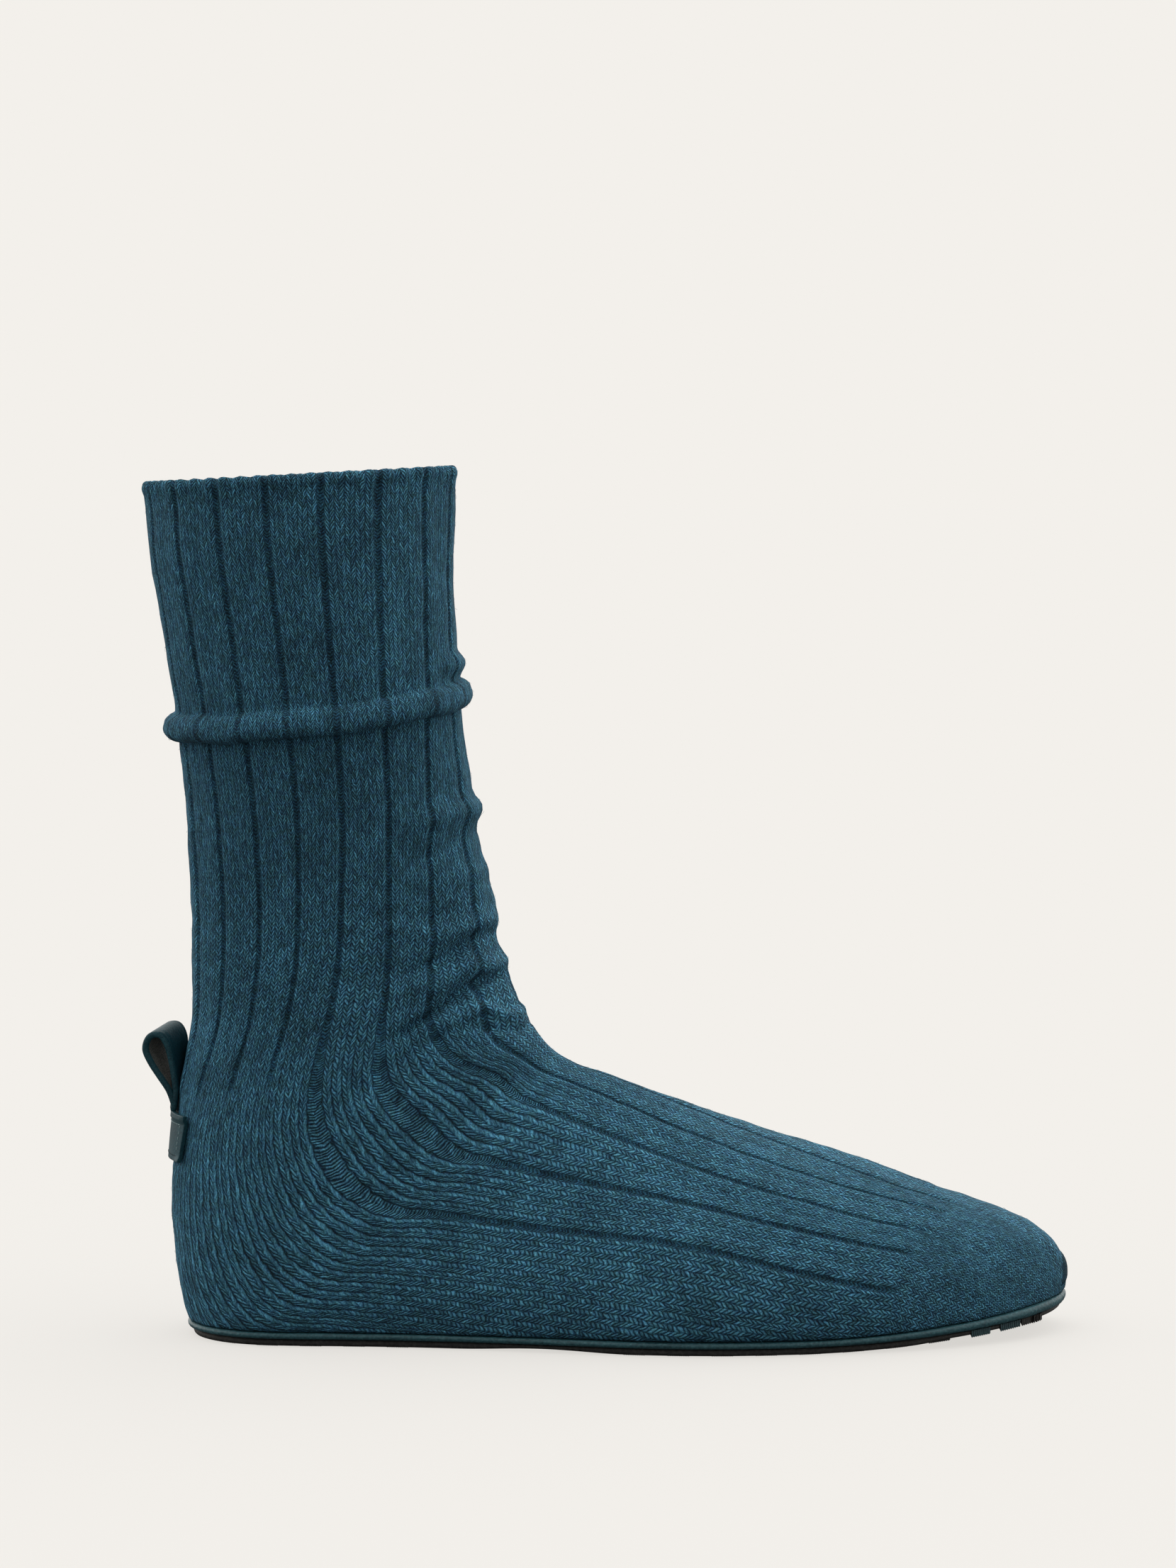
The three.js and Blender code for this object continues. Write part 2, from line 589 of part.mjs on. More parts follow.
// A grid of points and its copy behind it, closed at the edges
function shellGeometry(front, back) {
  const rows = front.length;
  const columns = front[0].length;
  const points = [...front.flat(), ...back.flat()];
  const index = [];
  const at = (layer, r, c) => layer * rows * columns + r * columns + c;
  for (let r = 0; r < rows - 1; r += 1) {
    for (let c = 0; c < columns - 1; c += 1) {
      index.push(at(0, r, c), at(0, r, c + 1), at(0, r + 1, c));
      index.push(at(0, r, c + 1), at(0, r + 1, c + 1), at(0, r + 1, c));
      index.push(at(1, r, c), at(1, r + 1, c), at(1, r, c + 1));
      index.push(at(1, r, c + 1), at(1, r + 1, c), at(1, r + 1, c + 1));
    }
  }
  const rim = [];
  for (let c = 0; c < columns - 1; c += 1) rim.push([0, c]);
  for (let r = 0; r < rows - 1; r += 1) rim.push([r, columns - 1]);
  for (let c = columns - 1; c > 0; c -= 1) rim.push([rows - 1, c]);
  for (let r = rows - 1; r > 0; r -= 1) rim.push([r, 0]);
  rim.forEach(([r, c], i) => {
    const [r2, c2] = rim[(i + 1) % rim.length];
    index.push(at(0, r, c), at(1, r, c), at(0, r2, c2), at(0, r2, c2), at(1, r, c), at(1, r2, c2));
  });
  return geometryFrom(points, index);
}

function heelTabGeometry() {
  const across = range(-tabHalfWidth, tabHalfWidth, (2 * tabHalfWidth) / tabColumns);
  const up = range(tabBottom, tabTop, (tabTop - tabBottom) / tabRows);
  const layer = (lift) => up.map((z) => across.map((y) => new THREE.Vector3(heelBackAt(y, z), y, z)
    .addScaledVector(heelNormalAt(y, z), lift)));
  return toGeometry(toSolid(shellGeometry(layer(seatGap + tabThickness), layer(seatGap))));
}

// The strap as a band along the closed loop, turned a little towards the inner side at its top
function pullLoopGeometry() {
  const n = loopRows.length;
  const line = [];
  for (let i = 0; i < n; i += 1) {
    const [a, b, c, d] = [-1, 0, 1, 2].map((j) => loopRows[(i + j + n) % n]);
    for (let k = 0; k < loopSteps; k += 1) {
      const t = k / loopSteps;
      line.push(new THREE.Vector2(catmull(a.x, b.x, c.x, d.x, t), catmull(a.z, b.z, c.z, d.z, t)));
    }
  }
  const corner = (i, out, side) => {
    const before = line[(i - 1 + line.length) % line.length];
    const after = line[(i + 1) % line.length];
    const along = after.clone().sub(before).normalize();
    const y = (side * strapWidth) / 2;
    const lean = smoothStep((line[i].y - loopPinch) / loopHeight);
    const middleZ = line[i].y + strapTilt * y * lean;
    const room = heelBackAt(y, middleZ) - 2 * seatGap - strapThickness / 2;
    const x = Math.min(line[i].x + strapTwist * y * lean, room) - along.y * out * 0.5 * strapThickness;
    const z = middleZ + along.x * out * 0.5 * strapThickness;
    return new THREE.Vector3(x, y, Math.max(z, tabTop + seatGap));
  };
  const corners = [[1, -1], [1, 1], [-1, 1], [-1, -1]];
  const cut = (i) => corners.map(([out, side]) => corner(i % line.length, out, side).toArray());
  const links = line.map((_, i) => wasm.Manifold.hull([...cut(i), ...cut(i + 1)]));
  const solids = links.reduce((sum, link) => sum.add(link)).decompose();
  return toGeometry(solids.sort((a, b) => b.volume() - a.volume())[0]);
}

const knitFinish = { color: 0x1f4452, roughness: 0.95, metalness: 0 };
const leatherFinish = { color: 0x3c5f68, roughness: 0.5, metalness: 0 };
const rubberFinish = { color: 0x242424, roughness: 0.75, metalness: 0 };
const footbedFinish = { color: 0x3a3f42, roughness: 0.9, metalness: 0 };

function piece(name, geometry, finish) {
  const mesh = new THREE.Mesh(geometry, new THREE.MeshStandardMaterial(finish));
  mesh.name = name;
  return mesh;
}

const shoe = new THREE.Group();
shoe.add(piece('upper', upperGeometry(), knitFinish));
shoe.add(piece('insole', insoleGeometry(), footbedFinish));
shoe.add(piece('midsole', midsoleGeometry(), leatherFinish));
shoe.add(piece('outsole', outsoleGeometry(), rubberFinish));
shoe.add(piece('heel_tab', heelTabGeometry(), leatherFinish));
shoe.add(piece('pull_loop', pullLoopGeometry(), leatherFinish));

// The origin goes to the middle of the shoe's box, on the floor
const box = new THREE.Box3().setFromObject(shoe);
const middle = box.getCenter(new THREE.Vector3());
shoe.position.set(-middle.x, -middle.y, -box.min.z);

const sockShoe = new THREE.Group();
sockShoe.add(shoe);
export default sockShoe;
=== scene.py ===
import math
import random
import bmesh
import bpy
import numpy as np
from mathutils import Matrix, Vector, noise


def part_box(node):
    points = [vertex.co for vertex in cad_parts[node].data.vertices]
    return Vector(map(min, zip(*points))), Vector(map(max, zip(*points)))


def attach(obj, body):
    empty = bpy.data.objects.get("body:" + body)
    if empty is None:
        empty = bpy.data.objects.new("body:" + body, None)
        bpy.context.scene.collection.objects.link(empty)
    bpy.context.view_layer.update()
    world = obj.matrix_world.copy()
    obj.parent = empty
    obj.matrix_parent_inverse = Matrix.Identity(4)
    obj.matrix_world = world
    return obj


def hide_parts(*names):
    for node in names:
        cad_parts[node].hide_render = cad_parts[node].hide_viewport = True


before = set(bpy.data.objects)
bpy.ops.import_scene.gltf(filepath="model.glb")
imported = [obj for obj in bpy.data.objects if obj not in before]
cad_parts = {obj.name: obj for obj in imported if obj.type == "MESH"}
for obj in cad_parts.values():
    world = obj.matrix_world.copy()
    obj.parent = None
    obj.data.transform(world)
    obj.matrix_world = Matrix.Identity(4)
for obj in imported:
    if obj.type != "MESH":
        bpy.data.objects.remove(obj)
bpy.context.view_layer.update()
mm = 0.001

# The shoe is drawn in millimetres with the back of its heel at x = 0, the floor at z = 0 and the toe along +X.
# The sole's rim says where that lies in the frame.
rimPlace = {"heelX": 4.2, "outerY": -45.6}
rimLow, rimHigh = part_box("midsole")
shift = Vector((rimLow.x - rimPlace["heelX"] * mm, rimLow.y - rimPlace["outerY"] * mm, 0))

sole = {
    "length": 251.0, "springFrom": 172.0, "spring": 5.8, "base": 1.9, "gap": 0.3,
    "rimHeight": 1.8, "rimToeExtra": 1.0,
}


def toFrame(points):
    # the shoe's millimetres to the frame's metres
    return np.asarray(points, float) * mm + np.array(shift)


def smoothStep(t):
    u = np.clip(t, 0, 1)
    return u * u * (3 - 2 * u)


def unit(vectors):
    return vectors / np.linalg.norm(vectors, axis=1, keepdims=True)


def lengthsAlong(points):
    return np.concatenate(([0], np.cumsum(np.linalg.norm(np.diff(points, axis=0), axis=1))))


def interpPoints(at, marks, points):
    return np.stack([np.interp(at, marks, points[:, k]) for k in range(3)], axis=1)


def springAt(x):
    t = np.maximum(0, x - sole["springFrom"]) / (sole["length"] - sole["springFrom"])
    return t * t


def rimBottomAt(x):
    return sole["base"] + sole["gap"] + sole["spring"] * springAt(x)


def rimTopAt(x):
    return rimBottomAt(x) + sole["rimHeight"] + sole["rimToeExtra"] * springAt(x)


def knitBottomAt(x):
    return rimTopAt(x) + sole["gap"]


# Sections of the sock from the cuff to the toe: ovals on the line from a front point to a back point
stationNames = (
    "backX", "backZ", "frontX", "frontZ", "outer", "inner",
    "ridge", "base", "widest", "frontPower", "backPower",
)
stationRows = [
    (-6.6, 236.9, 79.2, 241.4, -38.0, 38.0, 0, 0, 0.50, 2.10, 2.10),
    (-4.9, 217.5, 78.8, 222.5, -37.0, 37.0, 0, 0, 0.50, 2.10, 2.10),
    (-1.8, 197.5, 78.9, 203.5, -35.8, 35.8, 0, 0, 0.50, 2.10, 2.10),
    (1.2, 179.0, 79.6, 186.5, -34.4, 34.4, 0, 0, 0.50, 2.10, 2.10),
    (3.0, 161.5, 81.4, 168.5, -32.6, 32.6, 0, 0, 0.50, 2.10, 2.10),
    (4.6, 143.5, 84.2, 150.0, -30.6, 30.6, 0, 0, 0.51, 2.10, 2.10),
    (5.5, 125.5, 87.6, 132.0, -29.0, 29.0, 0, 0, 0.52, 2.10, 2.10),
    (6.1, 106.5, 90.9, 114.5, -28.2, 28.2, 0, 0, 0.52, 2.10, 2.10),
    (5.6, 87.5, 93.3, 102.5, -28.4, 28.6, 0, 0, 0.52, 2.10, 2.15),
    (2.8, 71.5, 96.0, 94.0, -29.2, 29.4, 0, 0, 0.53, 2.10, 2.20),
    (0.8, 55.5, 99.0, 88.3, -30.2, 30.2, 0, 0, 0.55, 2.10, 2.25),
    (-0.1, 39.5, 101.6, 84.3, -31.0, 30.8, 0, 0, 0.58, 2.10, 2.30),
    (0.7, 23.5, 104.0, 81.5, -31.4, 31.0, 0.5, 0, 0.60, 2.05, 2.35),
    (3.2, 8.0, 106.4, 79.1, -31.6, 31.0, 1.0, 0, 0.62, 2.00, 2.40),
    (12.0, -8.0, 109.2, 76.9, -32.0, 31.0, 1.5, 0, 0.63, 2.00, 2.45),
    (28.0, -10.0, 113.2, 74.8, -32.4, 31.0, 2.0, 0, 0.63, 1.95, 2.50),
    (46.0, -10.0, 119.2, 72.4, -33.2, 31.2, 2.5, 0, 0.64, 1.90, 2.55),
    (66.0, -10.0, 127.0, 69.5, -35.2, 32.2, 3.0, 0, 0.64, 1.85, 2.60),
    (87.0, -10.0, 136.8, 66.2, -38.6, 34.6, 3.5, 0, 0.64, 1.80, 2.60),
    (109.0, -10.0, 148.0, 62.4, -43.0, 38.0, 4.0, 0, 0.64, 1.80, 2.60),
    (131.0, -10.0, 160.0, 58.3, -46.6, 41.4, 4.5, 0.5, 0.64, 1.80, 2.60),
    (152.0, -10.0, 173.0, 53.9, -46.8, 43.6, 5.0, 1.5, 0.64, 1.80, 2.60),
    (171.0, -9.8, 186.2, 49.4, -44.0, 44.0, 5.5, 3.0, 0.63, 1.85, 2.60),
    (189.0, -9.2, 199.4, 45.0, -39.6, 43.0, 6.0, 5.0, 0.62, 1.90, 2.60),
    (205.0, -8.0, 212.0, 40.7, -34.4, 40.4, 6.5, 6.5, 0.61, 2.00, 2.60),
    (219.0, -6.2, 223.6, 36.8, -28.0, 36.8, 7.0, 7.5, 0.60, 2.10, 2.60),
    (230.5, -4.0, 233.6, 33.1, -20.8, 32.0, 7.5, 8.0, 0.60, 2.20, 2.60),
    (239.6, -1.2, 241.4, 29.4, -13.0, 26.4, 8.0, 8.0, 0.60, 2.20, 2.50),
    (246.4, 3.0, 247.2, 24.9, -5.0, 20.0, 8.0, 8.0, 0.60, 2.20, 2.40),
    (250.4, 11.1, 250.6, 19.1, 3.4, 12.4, 8.0, 8.0, 0.55, 2.20, 2.30),
]
stationTable = np.array(stationRows)
lastStation = len(stationRows) - 1
toeTip = np.array((251.0, 8.0, 15.6))

# Knit: wales run from the cuff to the toe, in ribs of six with a purl ladder between them
knit = {
    "wales": 96, "rib": 6, "sectionSteps": 180, "footRibsEnd": 23.9, "legRibsEnd": 9.3, "toeFrom": 23.3,
}
halfWales = knit["wales"] / 2

# Places of the wales 0, 6, 12, 18, 24, 36 and 48 round the outer half, in forty-eighths from front to back
waleMarks = np.array((0, 6, 12, 18, 24, 36, 48), float)
waleRows = {
    0: (-3.0, 3.2, 8.9, 15.0, 21.2, 32.2, 43.2),
    3: (-2.2, 4.0, 9.4, 15.6, 21.3, 32.1, 43.2),
    5: (-1.0, 5.1, 11.1, 16.4, 21.9, 32.4, 42.8),
    7: (0.0, 6.9, 13.0, 18.3, 24.0, 33.7, 43.4),
    9: (0.0, 8.0, 14.2, 19.8, 26.3, 36.0, 45.0),
    10: (0.0, 7.6, 12.9, 20.0, 26.9, 37.0, 46.5),
    12: (0.0, 5.1, 8.8, 17.2, 25.3, 36.8, 48.0),
    14: (0.0, 3.9, 7.7, 15.2, 22.2, 35.6, 48.0),
    17: (0.5, 4.9, 9.4, 15.7, 21.7, 35.0, 48.0),
    20: (3.0, 8.3, 12.7, 16.8, 21.4, 34.8, 48.0),
    23: (6.0, 9.9, 14.6, 18.5, 23.6, 35.8, 48.0),
    29: (7.0, 11.5, 16.0, 20.5, 25.5, 36.8, 48.0),
}
waleKnots = np.array(list(waleRows), float)
waleTable = np.array(list(waleRows.values()))

# Soft wrinkles: a line through (place, station) marks, its rise in mm, half its width in stations,
# and how much of it is left at the very front
folds = [
    {"places": (0, 6), "stations": (2.95, 2.96), "rise": 1.9, "reach": 0.24, "front": 1.0},
    {"places": (0, 8, 13), "stations": (5.17, 5.17, 5.26), "rise": 2.0, "reach": 0.25, "front": 1.0},
    {"places": (0, 8, 14), "stations": (5.52, 5.6, 5.85), "rise": -1.1, "reach": 0.24, "front": 0.9},
    {"places": (0, 8, 14), "stations": (6.83, 6.9, 7.08), "rise": 1.4, "reach": 0.32, "front": 0.4},
    {"places": (0, 7, 11, 16), "stations": (7.08, 7.1, 7.4, 7.6), "rise": -1.9, "reach": 0.22, "front": 0.22},
    {"places": (0, 9, 15), "stations": (7.83, 7.7, 8.1), "rise": 1.5, "reach": 0.36, "front": 0.2},
    {"places": (0, 8, 11, 14, 18), "stations": (8.05, 8.17, 8.33, 8.67, 9.05), "rise": -3.2, "reach": 0.25,
     "front": 0.12},
    {"places": (0, 4, 8, 14), "stations": (9.6, 9.6, 8.85, 9.1), "rise": 1.6, "reach": 0.4, "front": 0.35},
    {"places": (0, 3, 6, 9), "stations": (10.4, 10.4, 10.0, 9.5), "rise": -1.3, "reach": 0.3, "front": 0.25},
    {"places": (14, 20, 26), "stations": (9.5, 9.9, 10.6), "rise": -0.9, "reach": 0.5, "front": 1.0},
]
foldFrontReach = 6.0
foldFade = 5.0

# The slack roll round the leg: a tube of knit with a soft fillet above it
roll = {
    "places": (0, 12, 24, 36, 48), "stations": (3.41, 3.52, 3.59, 3.57, 3.53),
    "rise": 4.1, "reach": 0.23, "tubeHeight": 4.1, "fillet": 0.07, "filletFrom": 1.5, "filletTo": 0.8,
    "droop": 0.7, "droopFrom": -0.3, "tuck": 0.6, "waves": ((0.015, 0.41, 0), (0.01, 0.93, 1)),
}

# Ribs and ladders: where they stop and widen, in stations down the shoe and in wales from its front
ribs = {
    "soleFrom": 0.7, "soleFade": 0.6, "toeExtra": 0.35, "toeSlope": 0.05, "toeMiddle": 6, "toeFade": 0.25,
    "legFade": 0.4, "ankle": 11.6, "ankleReach": 4.2, "ankleFrom": 9, "ankleFade": 6, "ankleTo": 27, "ankleEnd": 4,
    "opening": 0.37, "ankleOpening": 0.5, "instepClosing": 0.15, "instepFrom": 11, "instepFade": 3,
    "instepTo": 9, "instepEnd": 6,
}


def catmull(rows, t):
    a, b, c, d = rows
    square = 2 * a - 5 * b + 4 * c - d
    cube = 3 * b - a - 3 * c + d
    return 0.5 * (2 * b + (c - a) * t + square * t * t + cube * t ** 3)


def closedCurve(marks, perMark):
    # a smooth closed line through the marks, and the way it runs at each of its points
    line = []
    for i in range(len(marks)):
        rows = [marks[(i + j) % len(marks)] for j in (-1, 0, 1, 2)]
        line.extend(catmull(rows, k / perMark) for k in range(perMark))
    line = np.array(line)
    return line, unit(np.roll(line, -1, axis=0) - np.roll(line, 1, axis=0))


def smoothRow(at, knots, table):
    # a smooth curve through rows at uneven knots
    k = int(np.clip(np.searchsorted(knots, at) - 1, 0, len(knots) - 2))
    span = knots[k + 1] - knots[k]
    t = float(np.clip((at - knots[k]) / span, 0, 1))
    slopes = np.gradient(table, knots, axis=0)
    start = (1 + 2 * t) * (1 - t) ** 2 * table[k] + t * (1 - t) ** 2 * span * slopes[k]
    return start + t * t * (3 - 2 * t) * table[k + 1] + t * t * (t - 1) * span * slopes[k + 1]


def stationAt(s):
    k = int(min(lastStation - 1, max(0, math.floor(s))))
    rows = [stationTable[min(lastStation, max(0, k + j))] for j in (-1, 0, 1, 2)]
    return dict(zip(stationNames, catmull(rows, s - k)))


def halfSection(s, side):
    row = stationAt(s)
    t = (1 - np.cos(np.linspace(0, math.pi, knit["sectionSteps"] + 1))) / 2
    reach = row["outer"] if side < 0 else row["inner"]
    widest = row["widest"]
    inFront = t < widest
    u = np.where(inFront, (widest - t) / widest, (t - widest) / (1 - widest))
    power = np.where(inFront, row["frontPower"], row["backPower"])
    middle = np.where(inFront, row["ridge"], row["base"])
    share = np.maximum(0, 1 - u ** power) ** (1 / power)
    x = row["frontX"] + (row["backX"] - row["frontX"]) * t
    z = row["frontZ"] + (row["backZ"] - row["frontZ"]) * t
    points = np.stack((x, middle + (reach - middle) * share, np.maximum(z, knitBottomAt(x))), axis=1)
    return points, lengthsAlong(points)


def ringAt(s, places):
    wrapped = (places + halfWales) % knit["wales"] - halfWales
    ring = np.empty((len(places), 3))
    for side, mask in ((-1, wrapped >= 0), (1, wrapped < 0)):
        points, lengths = halfSection(s, side)
        target = np.abs(wrapped[mask]) / halfWales * lengths[-1]
        ring[mask] = interpPoints(target, lengths, points)
    return ring


def placesOfWales(wales, s):
    at = smoothRow(s, waleKnots, waleTable)
    fine = np.linspace(0, halfWales, 97)
    places = [smoothRow(w, waleMarks, at[:, None])[0] for w in fine]
    front = np.interp(wales, fine, places)
    return np.where(wales >= 0, front, at[0] + (at[-1] - knit["wales"] - at[0]) * -wales / halfWales)


def bump(distance, reach):
    u = np.abs(distance) / reach
    return np.where(u < 1, (1 - np.minimum(u, 1) ** 2) ** 2, 0)


def crease(distance, reach):
    u = np.minimum(np.abs(distance) / reach, 1)
    return (1 - u) ** 1.5 * (1 + 0.6 * u)


def awayFromFront(places):
    return np.abs((places + halfWales) % knit["wales"] - halfWales)


def foldRise(places, s):
    away = awayFromFront(places)
    rise = np.zeros(len(places))
    for fold in folds:
        at, marks = fold["places"], fold["stations"]
        shape = bump if fold["rise"] > 0 else crease
        front = fold["front"] + (1 - fold["front"]) * smoothStep(away / foldFrontReach)
        ends = 1 - smoothStep((away - at[-1]) / foldFade + 0.5)
        if at[0] > 0:
            ends = ends * smoothStep((away - at[0]) / foldFade + 0.5)
        rise += fold["rise"] * front * ends * shape(s - np.interp(away, at, marks), fold["reach"])
    return rise


def rollShape(places, s):
    # how far the roll carries the knit out, as a share, and down, in mm
    wander = sum(depth * np.sin(places * turns + start) for depth, turns, start in roll["waves"])
    u = (s - np.interp(awayFromFront(places), roll["places"], roll["stations"]) - wander) / roll["reach"]
    tube = np.where(np.abs(u) < 1, np.cos(np.clip(u, -1, 1) * math.pi / 2), 0)
    rising = smoothStep((u + roll["filletFrom"]) / (roll["filletFrom"] - roll["filletTo"]))
    fillet = roll["fillet"] * rising * (u < 0)
    down = np.where(np.abs(u) < 1, roll["tubeHeight"] * (u - np.sin(np.clip(u, -1, 1) * math.pi / 2)), 0)
    return np.maximum(tube, fillet), roll["droop"] * tube * (u > roll["droopFrom"]) - down * roll["tuck"]


def ladderOffset(wales):
    return (wales + knit["rib"] / 2) % knit["rib"] - knit["rib"] / 2


def ribbedAt(wales, s):
    away = np.abs(wales)
    onSole = smoothStep((away - halfWales / 2 - ribs["soleFrom"]) / ribs["soleFade"])
    ends = knit["footRibsEnd"] + ribs["toeExtra"] - ribs["toeSlope"] * (away - ribs["toeMiddle"])
    leg = 1 - smoothStep((s - knit["legRibsEnd"]) / ribs["legFade"] + 0.5)
    return np.maximum(leg, 1 - onSole) * (1 - smoothStep((s - ends) / ribs["toeFade"] + 0.5))


def ankleStretch(wales, s):
    away = np.abs(wales)
    sides = smoothStep((away - ribs["ankleFrom"]) / ribs["ankleFade"])
    sides = sides * (1 - smoothStep((away - ribs["ankleTo"]) / ribs["ankleEnd"]))
    return bump(s - ribs["ankle"], ribs["ankleReach"]) * sides


def ladderOpening(wales, s):
    # half the width of a ladder, in wales: it is wide where the knit is stretched round the ankle
    instep = 1 - smoothStep((np.abs(wales) - ribs["instepTo"]) / ribs["instepEnd"])
    instep = smoothStep((s - ribs["instepFrom"]) / ribs["instepFade"]) * instep
    return ribs["opening"] + ribs["ankleOpening"] * ankleStretch(wales, s) - ribs["instepClosing"] * instep


def openedWales(wales, s):
    offset = ladderOffset(wales)
    opening = ladderOpening(wales - offset, s)
    half = knit["rib"] / 2
    outside = opening + (np.abs(offset) - 0.5) * (half - opening) / (half - 0.5)
    return wales - offset + np.where(np.abs(offset) < 0.5, offset * opening / 0.5, np.sign(offset) * outside)


def linkMesh(mesh, name):
    data = bpy.data.meshes.new(name)
    for face in mesh.faces:
        face.smooth = True
    mesh.to_mesh(data)
    mesh.free()
    made = bpy.data.objects.new(name, data)
    bpy.context.scene.collection.objects.link(made)
    return made


def gridMesh(points, closed, uvs=None, attributes=None, capped=False):
    # points is a grid of rows by columns in the shoe's millimetres: closed joins its last column to its first,
    # capped fills its two end rows, and an end row that shrinks to one point becomes one vertex
    rows, columns = points.shape[:2]
    across = columns + 1 if closed else columns
    mesh = bmesh.new()
    bmesh.ops.create_grid(mesh, x_segments=across - 1, y_segments=rows - 1, size=0.5, calc_uvs=False)
    placed = toFrame(points)
    values = {key: mesh.verts.layers.float.new(key) for key in (attributes or {})}
    cells = [(index // across, index % across) for index in range(len(mesh.verts))]
    for cell, vert in zip(cells, mesh.verts):
        column = cell[1] % columns
        vert.co = placed[cell[0], column]
        for key, layer in values.items():
            vert[layer] = float(attributes[key][cell[0], column])
    if uvs is not None:
        layer = mesh.loops.layers.uv.new("Knit")
        for face in mesh.faces:
            corners = [cells[loop.vert.index] for loop in face.loops]
            row, column = min(c[0] for c in corners), min(c[1] for c in corners)
            for loop, cell in zip(face.loops, corners):
                loop[layer].uv = uvs[row, column, cell[0] - row, cell[1] - column]
    endVerts = [{v for v, cell in zip(mesh.verts, cells) if cell[0] == row} for row in (0, rows - 1)]
    seam = [
        v for v, (row, column) in zip(mesh.verts, cells)
        if (closed and column in (0, across - 1)) or row in (0, rows - 1)
    ]
    bmesh.ops.remove_doubles(mesh, verts=seam, dist=1e-7)
    if capped:
        for end in endVerts:
            ring = [e for e in mesh.edges if e.is_boundary and all(v in end for v in e.verts)]
            bmesh.ops.triangle_fill(mesh, edges=ring, use_beauty=True)
        bmesh.ops.recalc_face_normals(mesh, faces=mesh.faces)
    return mesh


def finishPiece(made, slot, materials, *nodes):
    for material in materials:
        made.data.materials.append(material)
    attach(made, "root")
    if nodes:
        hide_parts(*nodes)


def spans(*parts):
    # rows at even steps within each (start, end, step)
    rows = [np.linspace(a, b, max(1, round((b - a) / step)), endpoint=False) for a, b, step in parts]
    return np.concatenate(rows)


# Shader helpers
def newMaterial(name):
    material = bpy.data.materials.new(name)
    material.use_nodes = True
    return material, material.node_tree, material.node_tree.nodes["Principled BSDF"]


def put(tree, socket, value):
    if isinstance(value, bpy.types.NodeSocket):
        tree.links.new(value, socket)
    elif hasattr(value, "__len__") and socket.type == "RGBA":
        socket.default_value = (*value, 1)
    else:
        socket.default_value = value


def calc(tree, operation, *values, clamp=False):
    node = tree.nodes.new("ShaderNodeMath")
    node.operation = operation
    node.use_clamp = clamp
    for socket, value in zip(node.inputs, values):
        put(tree, socket, value)
    return node.outputs[0]


def softStep(tree, value, low, high):
    node = tree.nodes.new("ShaderNodeMapRange")
    node.interpolation_type = "SMOOTHSTEP"
    put(tree, node.inputs[0], value)
    node.inputs[1].default_value, node.inputs[2].default_value = low, high
    return node.outputs[0]


def blend(tree, factor, first, second):
    node = tree.nodes.new("ShaderNodeMix")
    for socket, value in zip((node.inputs[0], node.inputs[2], node.inputs[3]), (factor, first, second)):
        put(tree, socket, value)
    return node.outputs[0]


def ramp(tree, factor, stops):
    node = tree.nodes.new("ShaderNodeValToRGB")
    while len(node.color_ramp.elements) < len(stops):
        node.color_ramp.elements.new(0.5)
    for element, (at, colour) in zip(node.color_ramp.elements, stops):
        element.position = at
        element.color = (*colour, 1)
    put(tree, node.inputs[0], factor)
    return node.outputs[0]


def tint(tree, mode, factor, first, second):
    node = tree.nodes.new("ShaderNodeMix")
    node.data_type = "RGBA"
    node.blend_type = mode
    for socket, value in zip((node.inputs[0], node.inputs[6], node.inputs[7]), (factor, first, second)):
        put(tree, socket, value)
    return node.outputs[2]


def shadeRamp(tree, factor, low, dark, high, bright):
    return ramp(tree, factor, [(low, (dark,) * 3), (high, (bright,) * 3)])


def noiseAt(tree, vector, scale, detail=2.0, rough=0.5):
    node = tree.nodes.new("ShaderNodeTexNoise")
    put(tree, node.inputs["Vector"], vector)
    node.inputs["Scale"].default_value = scale
    node.inputs["Detail"].default_value = detail
    node.inputs["Roughness"].default_value = rough
    return node.outputs["Fac"]


def objectCoords(tree):
    return tree.nodes.new("ShaderNodeTexCoord").outputs["Object"]


def joined(tree, x, y, z=0.0):
    node = tree.nodes.new("ShaderNodeCombineXYZ")
    for socket, value in zip(node.inputs, (x, y, z)):
        put(tree, socket, value)
    return node.outputs[0]


def readAttribute(tree, name):
    node = tree.nodes.new("ShaderNodeAttribute")
    node.attribute_name = name
    return node.outputs["Fac"]


def bumped(tree, shader, height, distance):
    node = tree.nodes.new("ShaderNodeBump")
    node.inputs["Distance"].default_value = distance
    put(tree, node.inputs["Height"], height)
    tree.links.new(node.outputs[0], shader.inputs["Normal"])


def linear(red, green, blue):
    # a colour seen on screen, 0 to 255, as light
    lights = []
    for c in (red, green, blue):
        lights.append(c / 12.92 / 255 if c < 10.3 else ((c / 255 + 0.055) / 1.055) ** 2.4)
    return tuple(lights)


# Yarn: colours from the painted shade between stitches to the painted highlight on their legs, and the odd fibres
# spun in
yarn = {
    "gap": linear(7, 22, 32), "shade": linear(33, 62, 78), "body": linear(52, 94, 114),
    "light": linear(96, 146, 166), "navy": linear(34, 62, 96), "moss": linear(50, 86, 84),
    "tan": linear(128, 122, 100), "sky": linear(70, 160, 196), "sheen": linear(90, 165, 190),
    "gain": (0.78, 0.97, 1.06), "bumpDepth": 0.0005, "roughness": 0.9, "sway": 0.45, "pull": 0.8,
}

